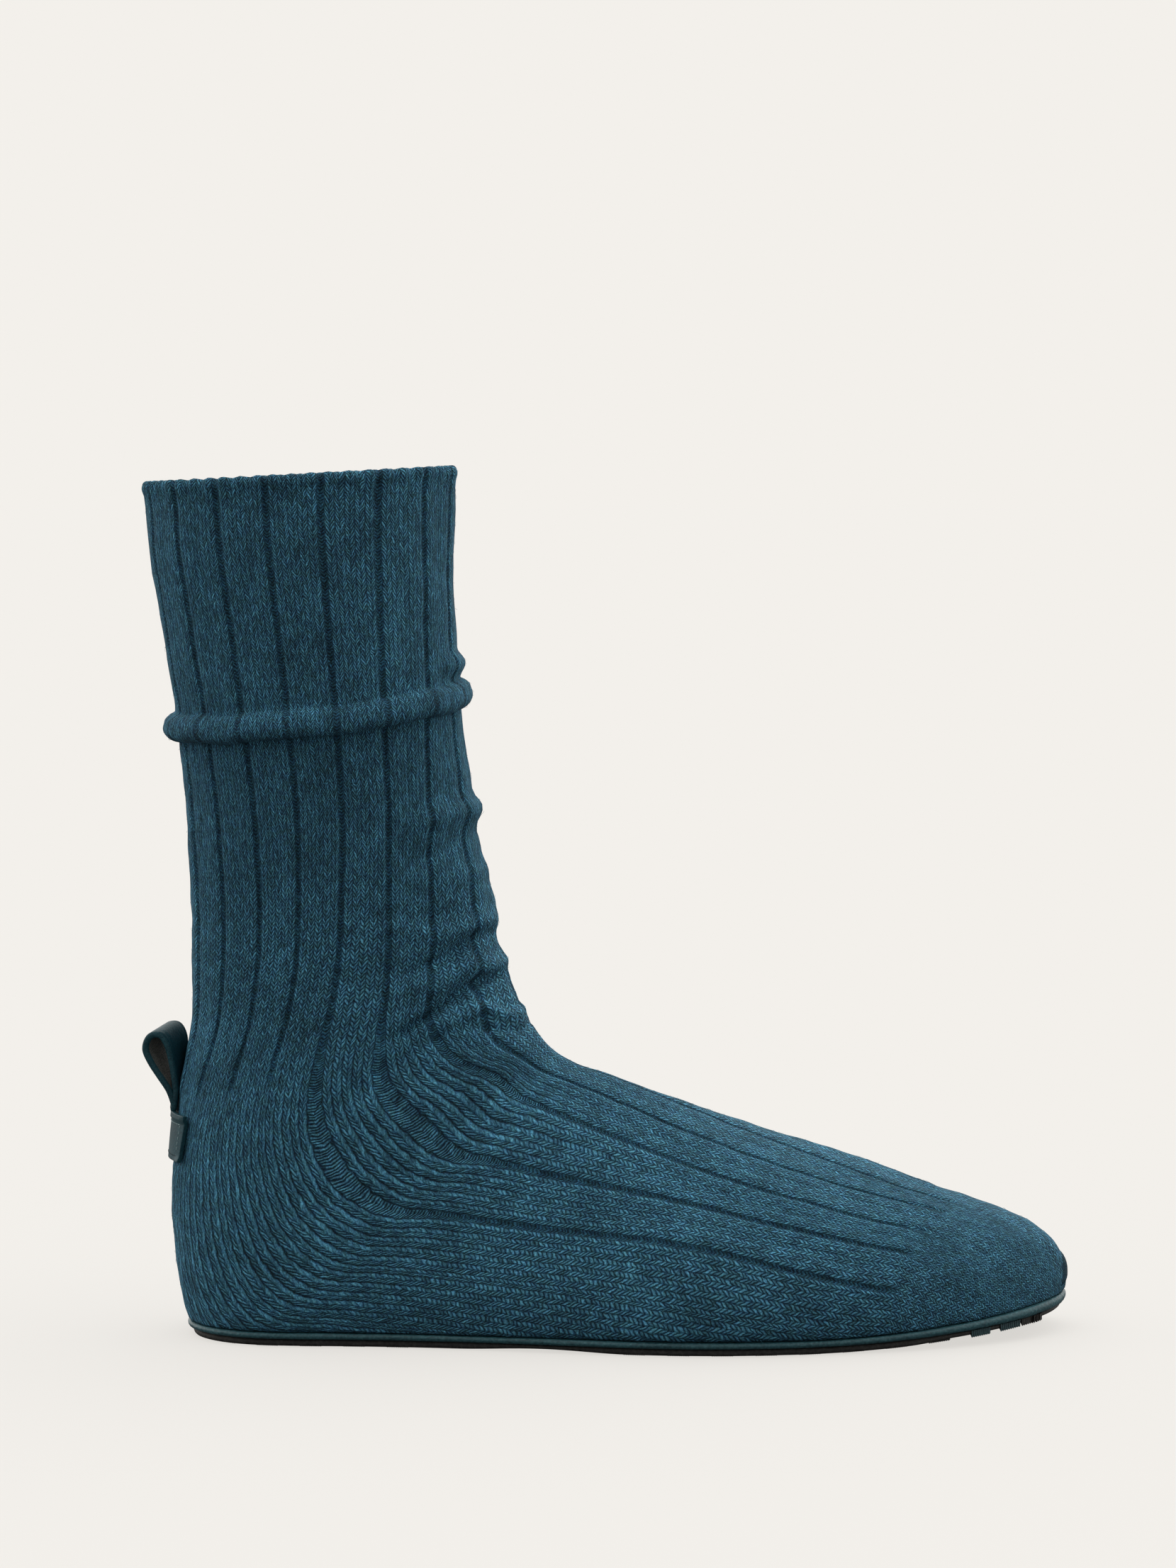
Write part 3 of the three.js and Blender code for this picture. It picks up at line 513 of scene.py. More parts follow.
# Stitches: how their legs slope in a wale on the foot and the leg, where the knit is stretched, and the ladders'
# threads; heights on the leg are in metres, and ladder widths in wales
stitches = {
    "footSlope": 1.15, "legSlope": 0.8, "stretchSlope": 0.7, "legFrom": 0.1, "legTo": 0.15, "legPower": 0.75,
    "leftHidden": 0.75, "leftHeight": 0.95, "middle": (-0.26, 0.3), "side": (0.7, 1.16), "opening": 0.12,
    "ladder": (0.36, 0.5), "rungs": (1.25, 2.0), "rungLean": 0.8, "rungPower": 1.2, "rungStretch": (0.15, 0.5),
    "rungHeight": 0.5, "rungRise": 0.55,
}


def stitchHeight(tree, wale, course, coords, inside):
    # each wale is a column of V stitches with their points to the toe; ladders show cross threads
    stretch = readAttribute(tree, "stretch")
    offset = calc(tree, "SUBTRACT", calc(tree, "FRACT", calc(tree, "ADD", wale, 0.5)), 0.5)
    away = calc(tree, "MULTIPLY", calc(tree, "ABSOLUTE", offset), 2.0)
    axes = tree.nodes.new("ShaderNodeSeparateXYZ")
    tree.links.new(coords, axes.inputs[0])
    onLeg = softStep(tree, axes.outputs[2], stitches["legFrom"], stitches["legTo"])
    slope = calc(tree, "MULTIPLY_ADD", onLeg, stitches["legSlope"], stitches["footSlope"])
    slope = calc(tree, "MULTIPLY_ADD", stretch, stitches["stretchSlope"], slope)
    slant = calc(tree, "MULTIPLY_ADD", away, slope, course)
    alongLeg = calc(tree, "SINE", calc(tree, "MULTIPLY", calc(tree, "FRACT", slant), math.pi))
    alongLeg = calc(tree, "POWER", alongLeg, stitches["legPower"])
    left = calc(tree, "MULTIPLY", calc(tree, "LESS_THAN", offset, 0.0), stretch)
    hidden = calc(tree, "MULTIPLY", left, stitches["leftHidden"])
    alongLeg = blend(tree, hidden, alongLeg, stitches["leftHeight"])
    middle = softStep(tree, away, *stitches["middle"])
    opened = calc(tree, "MULTIPLY", away, calc(tree, "MULTIPLY_ADD", stretch, stitches["opening"], 1.0))
    side = calc(tree, "SUBTRACT", 1.0, softStep(tree, opened, *stitches["side"]))
    leg = calc(tree, "MULTIPLY", calc(tree, "MULTIPLY", alongLeg, middle), side)

    rib = float(knit["rib"])
    fromLadder = calc(tree, "FRACT", calc(tree, "DIVIDE", calc(tree, "ADD", wale, rib / 2), rib))
    fromLadder = calc(tree, "ABSOLUTE", calc(tree, "SUBTRACT", fromLadder, 0.5))
    ladderEdge = softStep(tree, fromLadder, *(width / rib for width in stitches["ladder"]))
    inLadder = calc(tree, "SUBTRACT", 1.0, ladderEdge)
    inLadder = calc(tree, "MULTIPLY", inLadder, readAttribute(tree, "ribbed"))
    lean = calc(tree, "MULTIPLY", away, stitches["rungLean"])
    rungs = []
    for threads in stitches["rungs"]:
        rungAt = calc(tree, "FRACT", calc(tree, "MULTIPLY_ADD", course, threads, lean))
        wave = calc(tree, "SINE", calc(tree, "MULTIPLY", rungAt, math.pi))
        rungs.append(calc(tree, "POWER", wave, stitches["rungPower"]))
    rung = blend(tree, softStep(tree, stretch, *stitches["rungStretch"]), *rungs)
    # the rungs stand higher where the knit is stretched, so the colour ramp gives narrow, recessed ladders painted
    # shade
    rungHeight = calc(tree, "MULTIPLY_ADD", stretch, stitches["rungRise"], stitches["rungHeight"])
    rung = calc(tree, "MULTIPLY", rung, rungHeight)
    return blend(tree, 1.0 if inside else inLadder, leg, rung), slant


def knitMaterial(name, inside=False):
    material, tree, shader = newMaterial(name)
    uvNode = tree.nodes.new("ShaderNodeUVMap")
    uvNode.uv_map = "Knit"
    split = tree.nodes.new("ShaderNodeSeparateXYZ")
    tree.links.new(uvNode.outputs[0], split.inputs[0])
    coords = objectCoords(tree)

    # the yarn wanders a little, so that no two stitches are quite the same
    sway = calc(tree, "SUBTRACT", noiseAt(tree, coords, 420, 2), 0.5)
    wale = calc(tree, "MULTIPLY_ADD", sway, yarn["sway"], split.outputs[0])
    pull = calc(tree, "SUBTRACT", noiseAt(tree, joined(tree, split.outputs[0], split.outputs[1]), 0.7, 2), 0.5)
    course = calc(tree, "MULTIPLY_ADD", pull, yarn["pull"], split.outputs[1])
    height, slant = stitchHeight(tree, wale, course, coords, inside)

    # fibres lie along the legs, and each stitch takes its own shade
    lengthways, sideways = calc(tree, "MULTIPLY", slant, 5.5), calc(tree, "MULTIPLY", wale, 4.0)
    fibres = noiseAt(tree, joined(tree, lengthways, sideways), 1.0, 3, 0.7)
    stitch = tree.nodes.new("ShaderNodeTexWhiteNoise")
    stitch.noise_dimensions = "2D"
    cell = joined(tree, calc(tree, "FLOOR", calc(tree, "MULTIPLY", wale, 2.0)), calc(tree, "FLOOR", slant))
    tree.links.new(cell, stitch.inputs["Vector"])
    specks = noiseAt(tree, coords, 2900, 2, 0.7)
    flecks = noiseAt(tree, coords, 1900, 3, 0.7)
    patches = noiseAt(tree, coords, 650, 2, 0.6)
    clouds = noiseAt(tree, coords, 60, 3, 0.6)

    # the stitch height picks the colour: painted shade down in the gaps, painted highlight on the raised legs
    raised = calc(tree, "MULTIPLY", height, 0.92)
    lit = calc(tree, "MULTIPLY_ADD", calc(tree, "SUBTRACT", fibres, 0.5), 1.0, raised)
    shadeToHighlightStops = [(0.0, yarn["gap"]), (0.3, yarn["shade"]), (0.62, yarn["body"]), (1.0, yarn["light"])]
    colour = ramp(tree, lit, shadeToHighlightStops)
    heather = ramp(tree, patches, [(0.38, yarn["navy"]), (0.5, yarn["body"]), (0.62, yarn["moss"])])
    # painted shade and highlight: the heather is darkened down in the gaps and lightened on the raised legs
    heather = tint(tree, "MULTIPLY", 1.0, heather, shadeRamp(tree, height, 0.0, 0.22, 1.0, 1.35))
    colour = tint(tree, "MIX", 0.35, colour, heather)
    tan = calc(tree, "MULTIPLY", softStep(tree, specks, 0.66, 0.74), 0.5)
    colour = tint(tree, "MIX", tan, colour, yarn["tan"])
    sky = calc(tree, "MULTIPLY", calc(tree, "SUBTRACT", 1.0, softStep(tree, specks, 0.26, 0.34)), 0.4)
    colour = tint(tree, "MIX", sky, colour, yarn["sky"])
    shades = (
        (flecks, 0.33, 0.42, 0.67, 1.62), (stitch.outputs["Value"], 0.0, 0.6, 1.0, 1.4),
        (clouds, 0.3, 0.84, 0.7, 1.18),
    )
    for shade in shades:
        colour = tint(tree, "MULTIPLY", 1.0, colour, shadeRamp(tree, *shade))
    colour = tint(tree, "MULTIPLY", 1.0, colour, yarn["gain"])
    tree.links.new(colour, shader.inputs["Base Color"])
    surfaceLook = {
        "Roughness": yarn["roughness"], "Specular IOR Level": 0.15, "Sheen Weight": 0.07, "Sheen Roughness": 0.4,
        "Sheen Tint": (*yarn["sheen"], 1),
    }
    for key, value in surfaceLook.items():
        shader.inputs[key].default_value = value
    relief = calc(tree, "MULTIPLY_ADD", fibres, 0.5, calc(tree, "MULTIPLY_ADD", flecks, 0.5, height))
    bumped(tree, shader, relief, yarn["bumpDepth"])
    return material


# Leather patch sewn on the back of the heel
tab = {
    "halfWidth": 15.5, "narrowing": 0.8, "bottom": 49.5, "top": 62.3, "lift": 1.45, "thickness": 1.25,
    "droop": 0.25, "columns": 48, "rows": 26, "fold": 2.0, "foldRise": 0.4, "curl": 0.5, "bevel": 0.32,
    "tones": (linear(8, 36, 44), linear(20, 54, 63), linear(38, 78, 86)),
}
tabMiddle = (tab["bottom"] + tab["top"]) / 2
tabHeight = tab["top"] - tab["bottom"]
heelRows = [stationAt(s) for s in np.arange(5, 13.01, 0.1)]


def heelBackAt(y, z):
    # x of the back of the heel at a sideways place y and a height z
    xs, zs = [], []
    for row in heelRows:
        reach = row["outer"] if y < 0 else row["inner"]
        share = min(1, abs((y - row["base"]) / (reach - row["base"])))
        u = (1 - share ** row["backPower"]) ** (1 / row["backPower"])
        t = row["widest"] + u * (1 - row["widest"])
        xs.append(row["frontX"] + (row["backX"] - row["frontX"]) * t)
        zs.append(row["frontZ"] + (row["backZ"] - row["frontZ"]) * t)
    return float(np.interp(z, zs[::-1], xs[::-1]))


def heelPoint(y, z, lift):
    step = 0.4
    slopeY = (heelBackAt(y + step, z) - heelBackAt(y - step, z)) / (2 * step)
    slopeZ = (heelBackAt(y, z + step) - heelBackAt(y, z - step)) / (2 * step)
    normal = np.array((-1, slopeY, slopeZ))
    return np.array((heelBackAt(y, z), y, z)) + normal / np.linalg.norm(normal) * lift


# Knitted outer face, from inside the cuff over its edge and down to the toe
upperRows = spans(
    (0, 0.24, 0.03), (0.24, 2.7, 0.2), (2.7, 3.15, 0.05), (3.15, 3.9, 0.025), (3.9, 5.0, 0.12),
    (5.0, 6.6, 0.075), (6.6, 9.8, 0.05), (9.8, 12.5, 0.11), (12.5, 14.0, 0.06), (14.0, 24.4, 0.17),
    (24.4, 29.01, 0.12),
)
ribOffsets = np.array((0, 0.25, 0.5, 0.8, 1.1, 1.5, 2.0, 2.5, 3.0, 3.5, 4.0, 4.5, 4.9, 5.2, 5.5, 5.75))
ribStarts = np.arange(-halfWales, halfWales, knit["rib"])
waleColumns = (ribStarts[:, None] + ribOffsets[None, :]).ravel()
surface = {
    "ladderDepth": 0.48, "ankleLadder": 0.3, "footLadder": 0.4, "cutFrom": 0.2, "cutReach": 0.55, "crown": 0.3,
    "softNoise": 0.7, "softScale": 0.045, "fineNoise": 0.3, "fineScale": 0.16, "fineShift": (9, 4, 2),
    "pressed": -0.3, "ripple": 2.2, "rippleScale": (0.02, 0.02, 0.15), "rippleAt": 7.3, "rippleReach": 2.6,
    "rippleFrom": 16, "rippleFade": 10,
}
cuff = {
    "turns": 9, "radius": 1.15, "skirt": 3.0, "beadEnd": 0.38, "scallop": 0.5, "beadRise": 0.5, "beadReach": 0.2,
    "beadTop": 0.28, "dip": 0.5, "dipReach": 0.2, "courseStep": 0.4,
}
toeEnd = {"rings": 9, "course": 1.2, "courseStep": 0.8}


def normalsOf(grid):
    along = np.gradient(grid, axis=0)
    wide = np.concatenate((grid[:, -1:], grid, grid[:, :1]), axis=1)
    around = (wide[:, 2:] - wide[:, :-2]) / 2
    normals = np.cross(around, along)
    lengths = np.linalg.norm(normals, axis=2, keepdims=True)
    return normals / np.maximum(lengths, 1e-9)


def outerPlaces(wales, s):
    return placesOfWales(openedWales(wales, s), s)


def underTab(points):
    # the knit lies pressed flat where the heel tab is sewn on
    gap = np.maximum(np.abs(points[:, 1]) - tab["halfWidth"], np.abs(points[:, 2] - tabMiddle) - tabHeight / 2)
    return (1 - smoothStep(gap / 3)) * (points[:, 0] < 20)


def ladderCut(wales, s, share):
    offset = np.abs(ladderOffset(wales))
    cut = 1 - smoothStep((offset - surface["cutFrom"]) / surface["cutReach"])
    leg = 1 - smoothStep((s - 9.5) / 3)
    ankle = ankleStretch(wales - ladderOffset(wales), s)
    depth = surface["ladderDepth"] * leg + surface["footLadder"] * (1 - leg)
    depth = depth + (surface["ankleLadder"] - depth) * ankle
    onTop = smoothStep((s - 12) / 3) * (1 - smoothStep((np.abs(wales) - 12) / 4))
    plain = smoothStep((s - 0.1) / 0.25)
    return depth * cut * (1 - 0.4 * onTop) * (1 - 0.8 * share) * plain


def ripples(points, places, s):
    # shallow slack lines across the front of the ankle
    nearFront = 1 - smoothStep((awayFromFront(places) - surface["rippleFrom"]) / surface["rippleFade"])
    near = bump(s - surface["rippleAt"], surface["rippleReach"]) * nearFront
    scale = Vector(surface["rippleScale"])
    return surface["ripple"] * near * np.array([noise.noise(Vector(p) * scale) for p in points])


def outerGrid():
    places = np.array([outerPlaces(waleColumns, s) for s in upperRows])
    base = np.array([ringAt(s, p) for s, p in zip(upperRows, places)])
    normals = normalsOf(base)
    moved = np.empty_like(base)
    fineShift = Vector(surface["fineShift"])
    for r, s in enumerate(upperRows):
        ribbed = ribbedAt(waleColumns, s)
        share, down = rollShape(places[r], s)
        crown = 1 - (np.abs(ladderOffset(waleColumns)) / (knit["rib"] / 2) - 0.5) ** 2 * 4
        rise = cuff["beadRise"] * bump(s - cuff["beadReach"] / 2, cuff["beadReach"]) + foldRise(places[r], s)
        rise = rise - ladderCut(waleColumns, s, share) * ribbed
        rise = rise + surface["crown"] * crown * ribbed * smoothStep((s - 0.1) / 0.3)
        beads = np.cos(math.pi * (waleColumns + 1)) * (1 - smoothStep((s - 0.1) / cuff["beadEnd"]))
        rise = rise + cuff["scallop"] * beads
        soft = np.array([noise.noise(Vector(p) * surface["softScale"]) for p in base[r]])
        fine = np.array([noise.noise(Vector(p) * surface["fineScale"] + fineShift) for p in base[r]])
        rise = rise + surface["softNoise"] * soft + surface["fineNoise"] * fine + ripples(base[r], places[r], s)
        rise = rise * (1 - share) + share * (roll["rise"] + 0.35 * fine)
        pressed = underTab(base[r])
        rise = rise * (1 - pressed) + surface["pressed"] * pressed
        flat = base[r][:, 2] < knitBottomAt(base[r][:, 0]) + 0.01
        moved[r] = base[r] + normals[r] * rise[:, None]
        moved[r][:, 2] -= down
        floor = knitBottomAt(moved[r][:, 0])
        moved[r][:, 2] = np.where(flat, floor, np.maximum(moved[r][:, 2], floor))
    return moved


def courseHeight(s, away):
    stretched = bump(s - 12.5, 5.0) * smoothStep((away - 8) / 16)
    return 1.16 + 0.1 * smoothStep((s - 3) / 3) + 0.55 * stretched + 0.2 * smoothStep((s - 16) / 6)


def courseField(grid):
    # courses counted down each wale by its real length, so that stitches keep their size everywhere
    middles = np.arange(-halfWales, halfWales, 1.0)
    columns = np.array([np.argmin(np.abs(waleColumns - w)) for w in middles])
    heights = np.array([courseHeight(s, np.abs(middles)) for s in upperRows])
    steps = np.linalg.norm(np.diff(grid[:, columns], axis=0), axis=2) / ((heights[1:] + heights[:-1]) / 2)
    counts = np.concatenate((np.zeros((1, len(middles))), np.cumsum(steps, axis=0)))
    join = np.searchsorted(upperRows, knit["toeFrom"])
    slip = np.round(counts[join]) - counts[join]
    share = smoothStep((upperRows - 12) / (knit["toeFrom"] - 12))
    return counts + share[:, None] * slip, join


def toeSlant(grid, wales):
    # towards the toe the wales run down to the rim, and the courses lean with them to stay square
    points = np.concatenate((grid, grid[:, :1]), axis=1)
    leans = []
    for r in range(len(points)):
        near = min(r + 1, len(points) - 1)
        last = near - 1
        ahead = unit(interpPoints(wales[last], wales[near], points[near]) - points[last])
        steps = np.diff(points[r], axis=0)
        leaning = np.concatenate(([0], np.cumsum((steps * (ahead[1:] + ahead[:-1]) / 2).sum(axis=1))))
        leans.append((leaning - np.interp(0, wales[r], leaning)) / toeEnd["course"])
    return np.array([lean - np.interp(own, wales[0], leans[0]) for lean, own in zip(leans, wales)])


def knitUvs(grid, extraTop, extraToe):
    # for each face and each of its corners, the wale and the course there
    counts, join = courseField(grid)
    rows, columns = grid.shape[:2]
    total = rows + extraTop + extraToe
    uvs = np.zeros((total - 1, columns, 2, 2, 2))
    wide = np.append(waleColumns, halfWales)
    middles = (np.floor((wide[:-1] + wide[1:]) / 2 + 0.5 + halfWales) % knit["wales"]).astype(int)
    toeHalf = [halfSection(s, -1)[1][-1] for s in upperRows]
    frontColumn = int(np.argmin(np.abs(waleColumns)))
    toeCommon = lengthsAlong(grid[join:, frontColumn]) / toeEnd["course"]
    fineWales = np.linspace(-halfWales, halfWales, 385)
    joinPlaces = outerPlaces(fineWales, upperRows[join]) * toeHalf[join] / halfWales
    toeWales = np.array([
        np.interp(outerPlaces(wide, upperRows[r]) * toeHalf[r] / halfWales, joinPlaces, fineWales)
        for r in range(join, rows)
    ])
    toeCourses = toeCommon[:, None] + toeSlant(grid[join:], toeWales)
    body, tip = slice(extraTop, extraTop + rows - 1), slice(extraTop + rows - 1, None)
    toe, toeRows = slice(extraTop + join, extraTop + rows - 1), rows - 1 - join
    for i in (0, 1):
        above = (np.arange(extraTop) + i - extraTop) * cuff["courseStep"]
        beyond = (np.arange(extraToe) + i) * toeEnd["courseStep"]
        for j in (0, 1):
            across = slice(j, columns + j)
            uvs[:, :, i, j, 0] = wide[across]
            uvs[:extraTop, :, i, j, 1] = above[:, None]
            uvs[body, :, i, j, 1] = counts[i:rows - 1 + i][:, middles]
            uvs[toe, :, i, j, 0] = toeWales[i:toeRows + i, across]
            uvs[toe, :, i, j, 1] = toeCourses[i:toeRows + i, across]
            uvs[tip, :, i, j, 0] = toeWales[-1, across]
            uvs[tip, :, i, j, 1] = toeCourses[-1, across] + beyond[:, None]
    return uvs


def cuffRim(ring, below):
    # the knit turns over at the cuff: half a round edge from the inside to the outer face
    inward, up = unit(ring.mean(axis=0) - ring), unit(ring - below)
    loops = []
    for k in range(cuff["turns"]):
        turn = math.pi * (cuff["turns"] - k) / cuff["turns"]
        across, rise = cuff["radius"] * (1 - math.cos(turn)), cuff["radius"] * math.sin(turn)
        loops.append(ring + inward * across + up * rise)
    return np.array([loops[0] - up * cuff["skirt"], *loops])


def toeCap(ring, tip):
    loops = []
    for turn in np.linspace(0, math.pi / 2, toeEnd["rings"] + 1)[1:]:
        loop = tip + (ring - tip) * math.cos(turn)
        loop[:, 0] = ring[:, 0] + (tip[0] - ring[:, 0]) * math.sin(turn)
        loops.append(loop)
    return np.array(loops)


outer = outerGrid()
beadTops = np.cos(math.pi * (waleColumns + 1)) * cuff["beadTop"]
topShare = np.clip(1 - upperRows / cuff["dipReach"], 0, 1)
outer[:, :, 2] -= topShare[:, None] * (cuff["dip"] - beadTops)[None, :]
rim = cuffRim(outer[0], outer[4])
cap = toeCap(outer[-1], toeTip)
shell = np.concatenate((rim, outer, cap))
allRows = np.concatenate((np.zeros(len(rim)), upperRows, np.full(len(cap), lastStation)))
ribbedGrid = np.array([ribbedAt(waleColumns, s) for s in allRows])
stretchGrid = np.array([
    bump(s - 12.6, 5.4) * smoothStep((np.abs(waleColumns) - 2) / 10) * (1 - 0.4 * smoothStep((s - 14) / 3))
    for s in allRows
])
uvGrid = knitUvs(outer, len(rim), len(cap))
knitLayers = {"ribbed": ribbedGrid, "stretch": stretchGrid}
upperKnit = linkMesh(gridMesh(shell, True, uvGrid, knitLayers), "upperKnit")
finishPiece(upperKnit, "knit", [knitMaterial("ribKnit")], "upper")
print("stage: outer knit", len(upperKnit.data.polygons) * 2, "triangles")

# Inner face of the knit, its purl side
lining = {"depth": 1.8, "foldShare": 0.8, "courses": 3.0, "toeReach": 4.5}
liningRows = spans((0.05, 13, 0.2), (13, 28.6, 0.35))
liningColumns = np.arange(-halfWales, halfWales, 1.0)
liningPlaces = np.array([placesOfWales(liningColumns, s) for s in liningRows])
liningBase = np.array([ringAt(s, p) for s, p in zip(liningRows, liningPlaces)])
liningRise = np.array([lining["foldShare"] * foldRise(p, s) for s, p in zip(liningRows, liningPlaces)])
liningGrid = liningBase + normalsOf(liningBase) * (liningRise - lining["depth"])[:, :, None]
liningFloor = knitBottomAt(liningGrid[:, :, 0]) + lining["depth"]
liningGrid[:, :, 2] = np.maximum(liningGrid[:, :, 2], liningFloor)
liningTip = liningGrid[-1].mean(axis=0) + np.array((lining["toeReach"], 0, 0))
liningGrid = np.concatenate((liningGrid, toeCap(liningGrid[-1], liningTip)))
liningCourses = np.arange(len(liningGrid)) * lining["courses"]
liningUvs = np.zeros((len(liningGrid) - 1, len(liningColumns), 2, 2, 2))
for i in (0, 1):
    for j in (0, 1):
        liningUvs[:, :, i, j, 0] = liningColumns[None, :] + j
        liningUvs[:, :, i, j, 1] = liningCourses[i:len(liningGrid) - 1 + i][:, None]
liningKnit = linkMesh(gridMesh(liningGrid[:, ::-1], True, liningUvs), "liningKnit")
finishPiece(liningKnit, "knit", [knitMaterial("purlKnit", inside=True)])
print("stage: lining")

# Sole outline: x and its reach to the outer and inner side
outlineRows = [
    (4.2, 0.0, 0.0), (5.4, 9.6, 9.4), (9.0, 17.0, 16.5), (14.5, 22.7, 22.1), (23.0, 27.2, 26.4),
    (35.0, 29.3, 28.1), (52.0, 30.3, 28.6), (72.0, 32.4, 29.8), (92.0, 35.7, 32.0), (112.0, 40.2, 35.5),
    (132.0, 44.2, 39.2), (152.0, 45.6, 42.0), (172.0, 43.6, 43.0), (190.0, 39.8, 42.5), (206.0, 34.9, 40.5),
    (221.0, 28.2, 36.9), (233.0, 20.9, 32.0), (242.0, 13.0, 26.6), (248.5, 3.2, 20.0), (251.0, -8.0, 8.0),
]
outlineSteps = 8


def outlineLoop(inset):
    outerSide = [(x, -reach) for x, reach, _ in outlineRows]
    innerSide = [(x, reach) for x, _, reach in reversed(outlineRows[1:-1])]
    loop, along = closedCurve(np.array(outerSide + innerSide), outlineSteps)
    return loop + inset * np.stack((-along[:, 1], along[:, 0]), axis=1)


def layer(inset, heightAt):
    loop = outlineLoop(inset)
    return np.stack((loop[:, 0], loop[:, 1], heightAt(loop[:, 0])), axis=1)


def grainMaterial(name, tones, scale, roughness, depth, wear=0.15, shine=0.3):
    # moulded or tanned surfaces: tones are the dark, middle and light colour
    material, tree, shader = newMaterial(name)
    coords = objectCoords(tree)
    cells = tree.nodes.new("ShaderNodeTexVoronoi")
    cells.inputs["Scale"].default_value = scale
    tree.links.new(coords, cells.inputs["Vector"])
    grain = noiseAt(tree, coords, scale * 1.7, 4, 0.6)
    cloud = noiseAt(tree, coords, scale * 0.09, 3, 0.6)
    colour = ramp(tree, grain, [(0.28, tones[0]), (0.52, tones[1]), (0.8, tones[2])])
    colour = tint(tree, "MULTIPLY", 1.0, colour, shadeRamp(tree, cloud, 0.3, 1 - wear, 0.7, 1 + wear))
    tree.links.new(colour, shader.inputs["Base Color"])
    shader.inputs["Specular IOR Level"].default_value = shine
    rough = calc(tree, "MULTIPLY_ADD", grain, 0.25, roughness - 0.12)
    tree.links.new(rough, shader.inputs["Roughness"])
    bumped(tree, shader, calc(tree, "MULTIPLY_ADD", grain, 0.6, cells.outputs["Distance"]), depth)
    return material


# Rim of the sole: a soft moulded edge, deeper and rougher under the toe
rimEdge = {
    "profile": 10, "fullness": 1.0, "roughToe": 0.4, "swell": 0.6, "swellFrom": 2.2, "swellTo": 3.0,
    "tones": (linear(18, 46, 54), linear(34, 70, 78), linear(60, 98, 104)),
}


def rimGrid():
    loops = []
    for k in range(rimEdge["profile"] + 1):
        turn = math.pi * k / rimEdge["profile"]
        loop = outlineLoop(rimEdge["fullness"] * (1 - math.sin(turn)))
        x = loop[:, 0]
        low, high = rimBottomAt(x), rimTopAt(x)
        z = (low + high) / 2 - (high - low) / 2 * math.cos(turn)
        rough = np.array([noise.noise(Vector((a * 0.5, b * 0.5, k * 0.7))) for a, b in loop])
        z = z + rough * rimEdge["roughToe"] * springAt(x) * (1 - k / rimEdge["profile"])
        loops.append(np.stack((x, loop[:, 1], z), axis=1))
    # its middle swells up against the knit, so that no light shows between them
    for inset, rise in ((rimEdge["swellFrom"], 0.0), (rimEdge["swellTo"], rimEdge["swell"])):
        loops.append(layer(inset, lambda x: rimTopAt(x) + rise))
    return np.array(loops)


soleRim = linkMesh(gridMesh(rimGrid(), True, capped=True), "soleRim")
rimLook = grainMaterial("moulded rim", rimEdge["tones"], 900, 0.48, 0.0001)
finishPiece(soleRim, "sole_edge", [rimLook], "midsole")
print("stage: rim")

# Outsole: a thin rubber sheet arched at the waist, with combed bars under the heel and the forefoot; its black is
# partly the rubber's own colour and partly painted shade for the dark band under the rim
tread = {
    "inset": 1.6, "bevel": 0.5, "bars": 0.22, "sheet": 1.68, "swell": 0.5, "swellFrom": 2.6, "swellTo": 3.4,
    "toeRise": 0.5, "toeFrom": 205, "toeReach": 12, "arch": 0.7, "archFrom": 80.0, "archTo": 128.0,
    "barInset": 3.0, "barRise": 0.3, "barLength": 6.0, "pitch": 12.0, "heelStart": 13.0, "heelBars": 5,
    "foreStart": 126.0, "foreBars": 8, "toothPitch": 0.6, "toothWidth": 0.36, "toothDepth": 0.12,
    "toothOut": 0.12, "toothUp": 0.02, "tipFrom": 240, "tipReach": 1.2, "tipMiddle": 8.0,
    "toeBars": ((222.0, 5.4, 0), (230.4, 5.8, 0), (236.7, 6.0, 1)), "toeInset": 1.35,
    "black": (linear(22, 22, 22), linear(40, 40, 40), linear(62, 62, 60)),
    "teal": (linear(24, 42, 48), linear(42, 66, 72), linear(66, 92, 96)),
    "barTones": (linear(16, 18, 19), linear(30, 33, 34), linear(50, 54, 54)),
}


def archAt(x):
    t = (x - tread["archFrom"]) / (tread["archTo"] - tread["archFrom"])
    return np.where((t > 0) & (t < 1), tread["arch"] * np.sin(math.pi * np.clip(t, 0, 1)) ** 2, 0)


def outsoleSide(share):
    toeRise = lambda x: tread["toeRise"] * smoothStep((x - tread["toeFrom"]) / tread["toeReach"])
    low = lambda x: sole["spring"] * springAt(x) + tread["bars"] + archAt(x) + toeRise(x)
    high = lambda x: sole["spring"] * springAt(x) + tread["bars"] + tread["sheet"]
    inset = tread["inset"] + tread["bevel"] * (1 - math.sin(min(1, share * 2.5) * math.pi / 2))
    return layer(inset, lambda x: low(x) + (high(x) - low(x)) * share)


def sideReach(x, inset, side):
    # how far the sole reaches to a side at x; round the toe's tip it is taken from the points that are near
    loop = outlineLoop(inset)
    if x < tread["tipFrom"]:
        half = loop[loop[:, 1] * side > 0]
        half = half[np.argsort(half[:, 0])]
        return np.interp(x, half[:, 0], half[:, 1])
    close = loop[np.abs(loop[:, 0] - x) < tread["tipReach"]][:, 1]
    return (close.min() if side < 0 else close.max()) if len(close) else tread["tipMiddle"]


def addBlock(mesh, x0, x1, inset, low, high):
    # a block right across the sole from x0 to x1, low and high above the outsole's lowest line
    block = bmesh.ops.create_cube(mesh, size=1.0)["verts"]
    for vert in block:
        x = x0 if vert.co.x < 0 else x1
        y = sideReach(x, inset, -1 if vert.co.y < 0 else 1)
        z = sole["spring"] * springAt(x) + (low if vert.co.z < 0 else high)
        vert.co = toFrame((x, y, z))


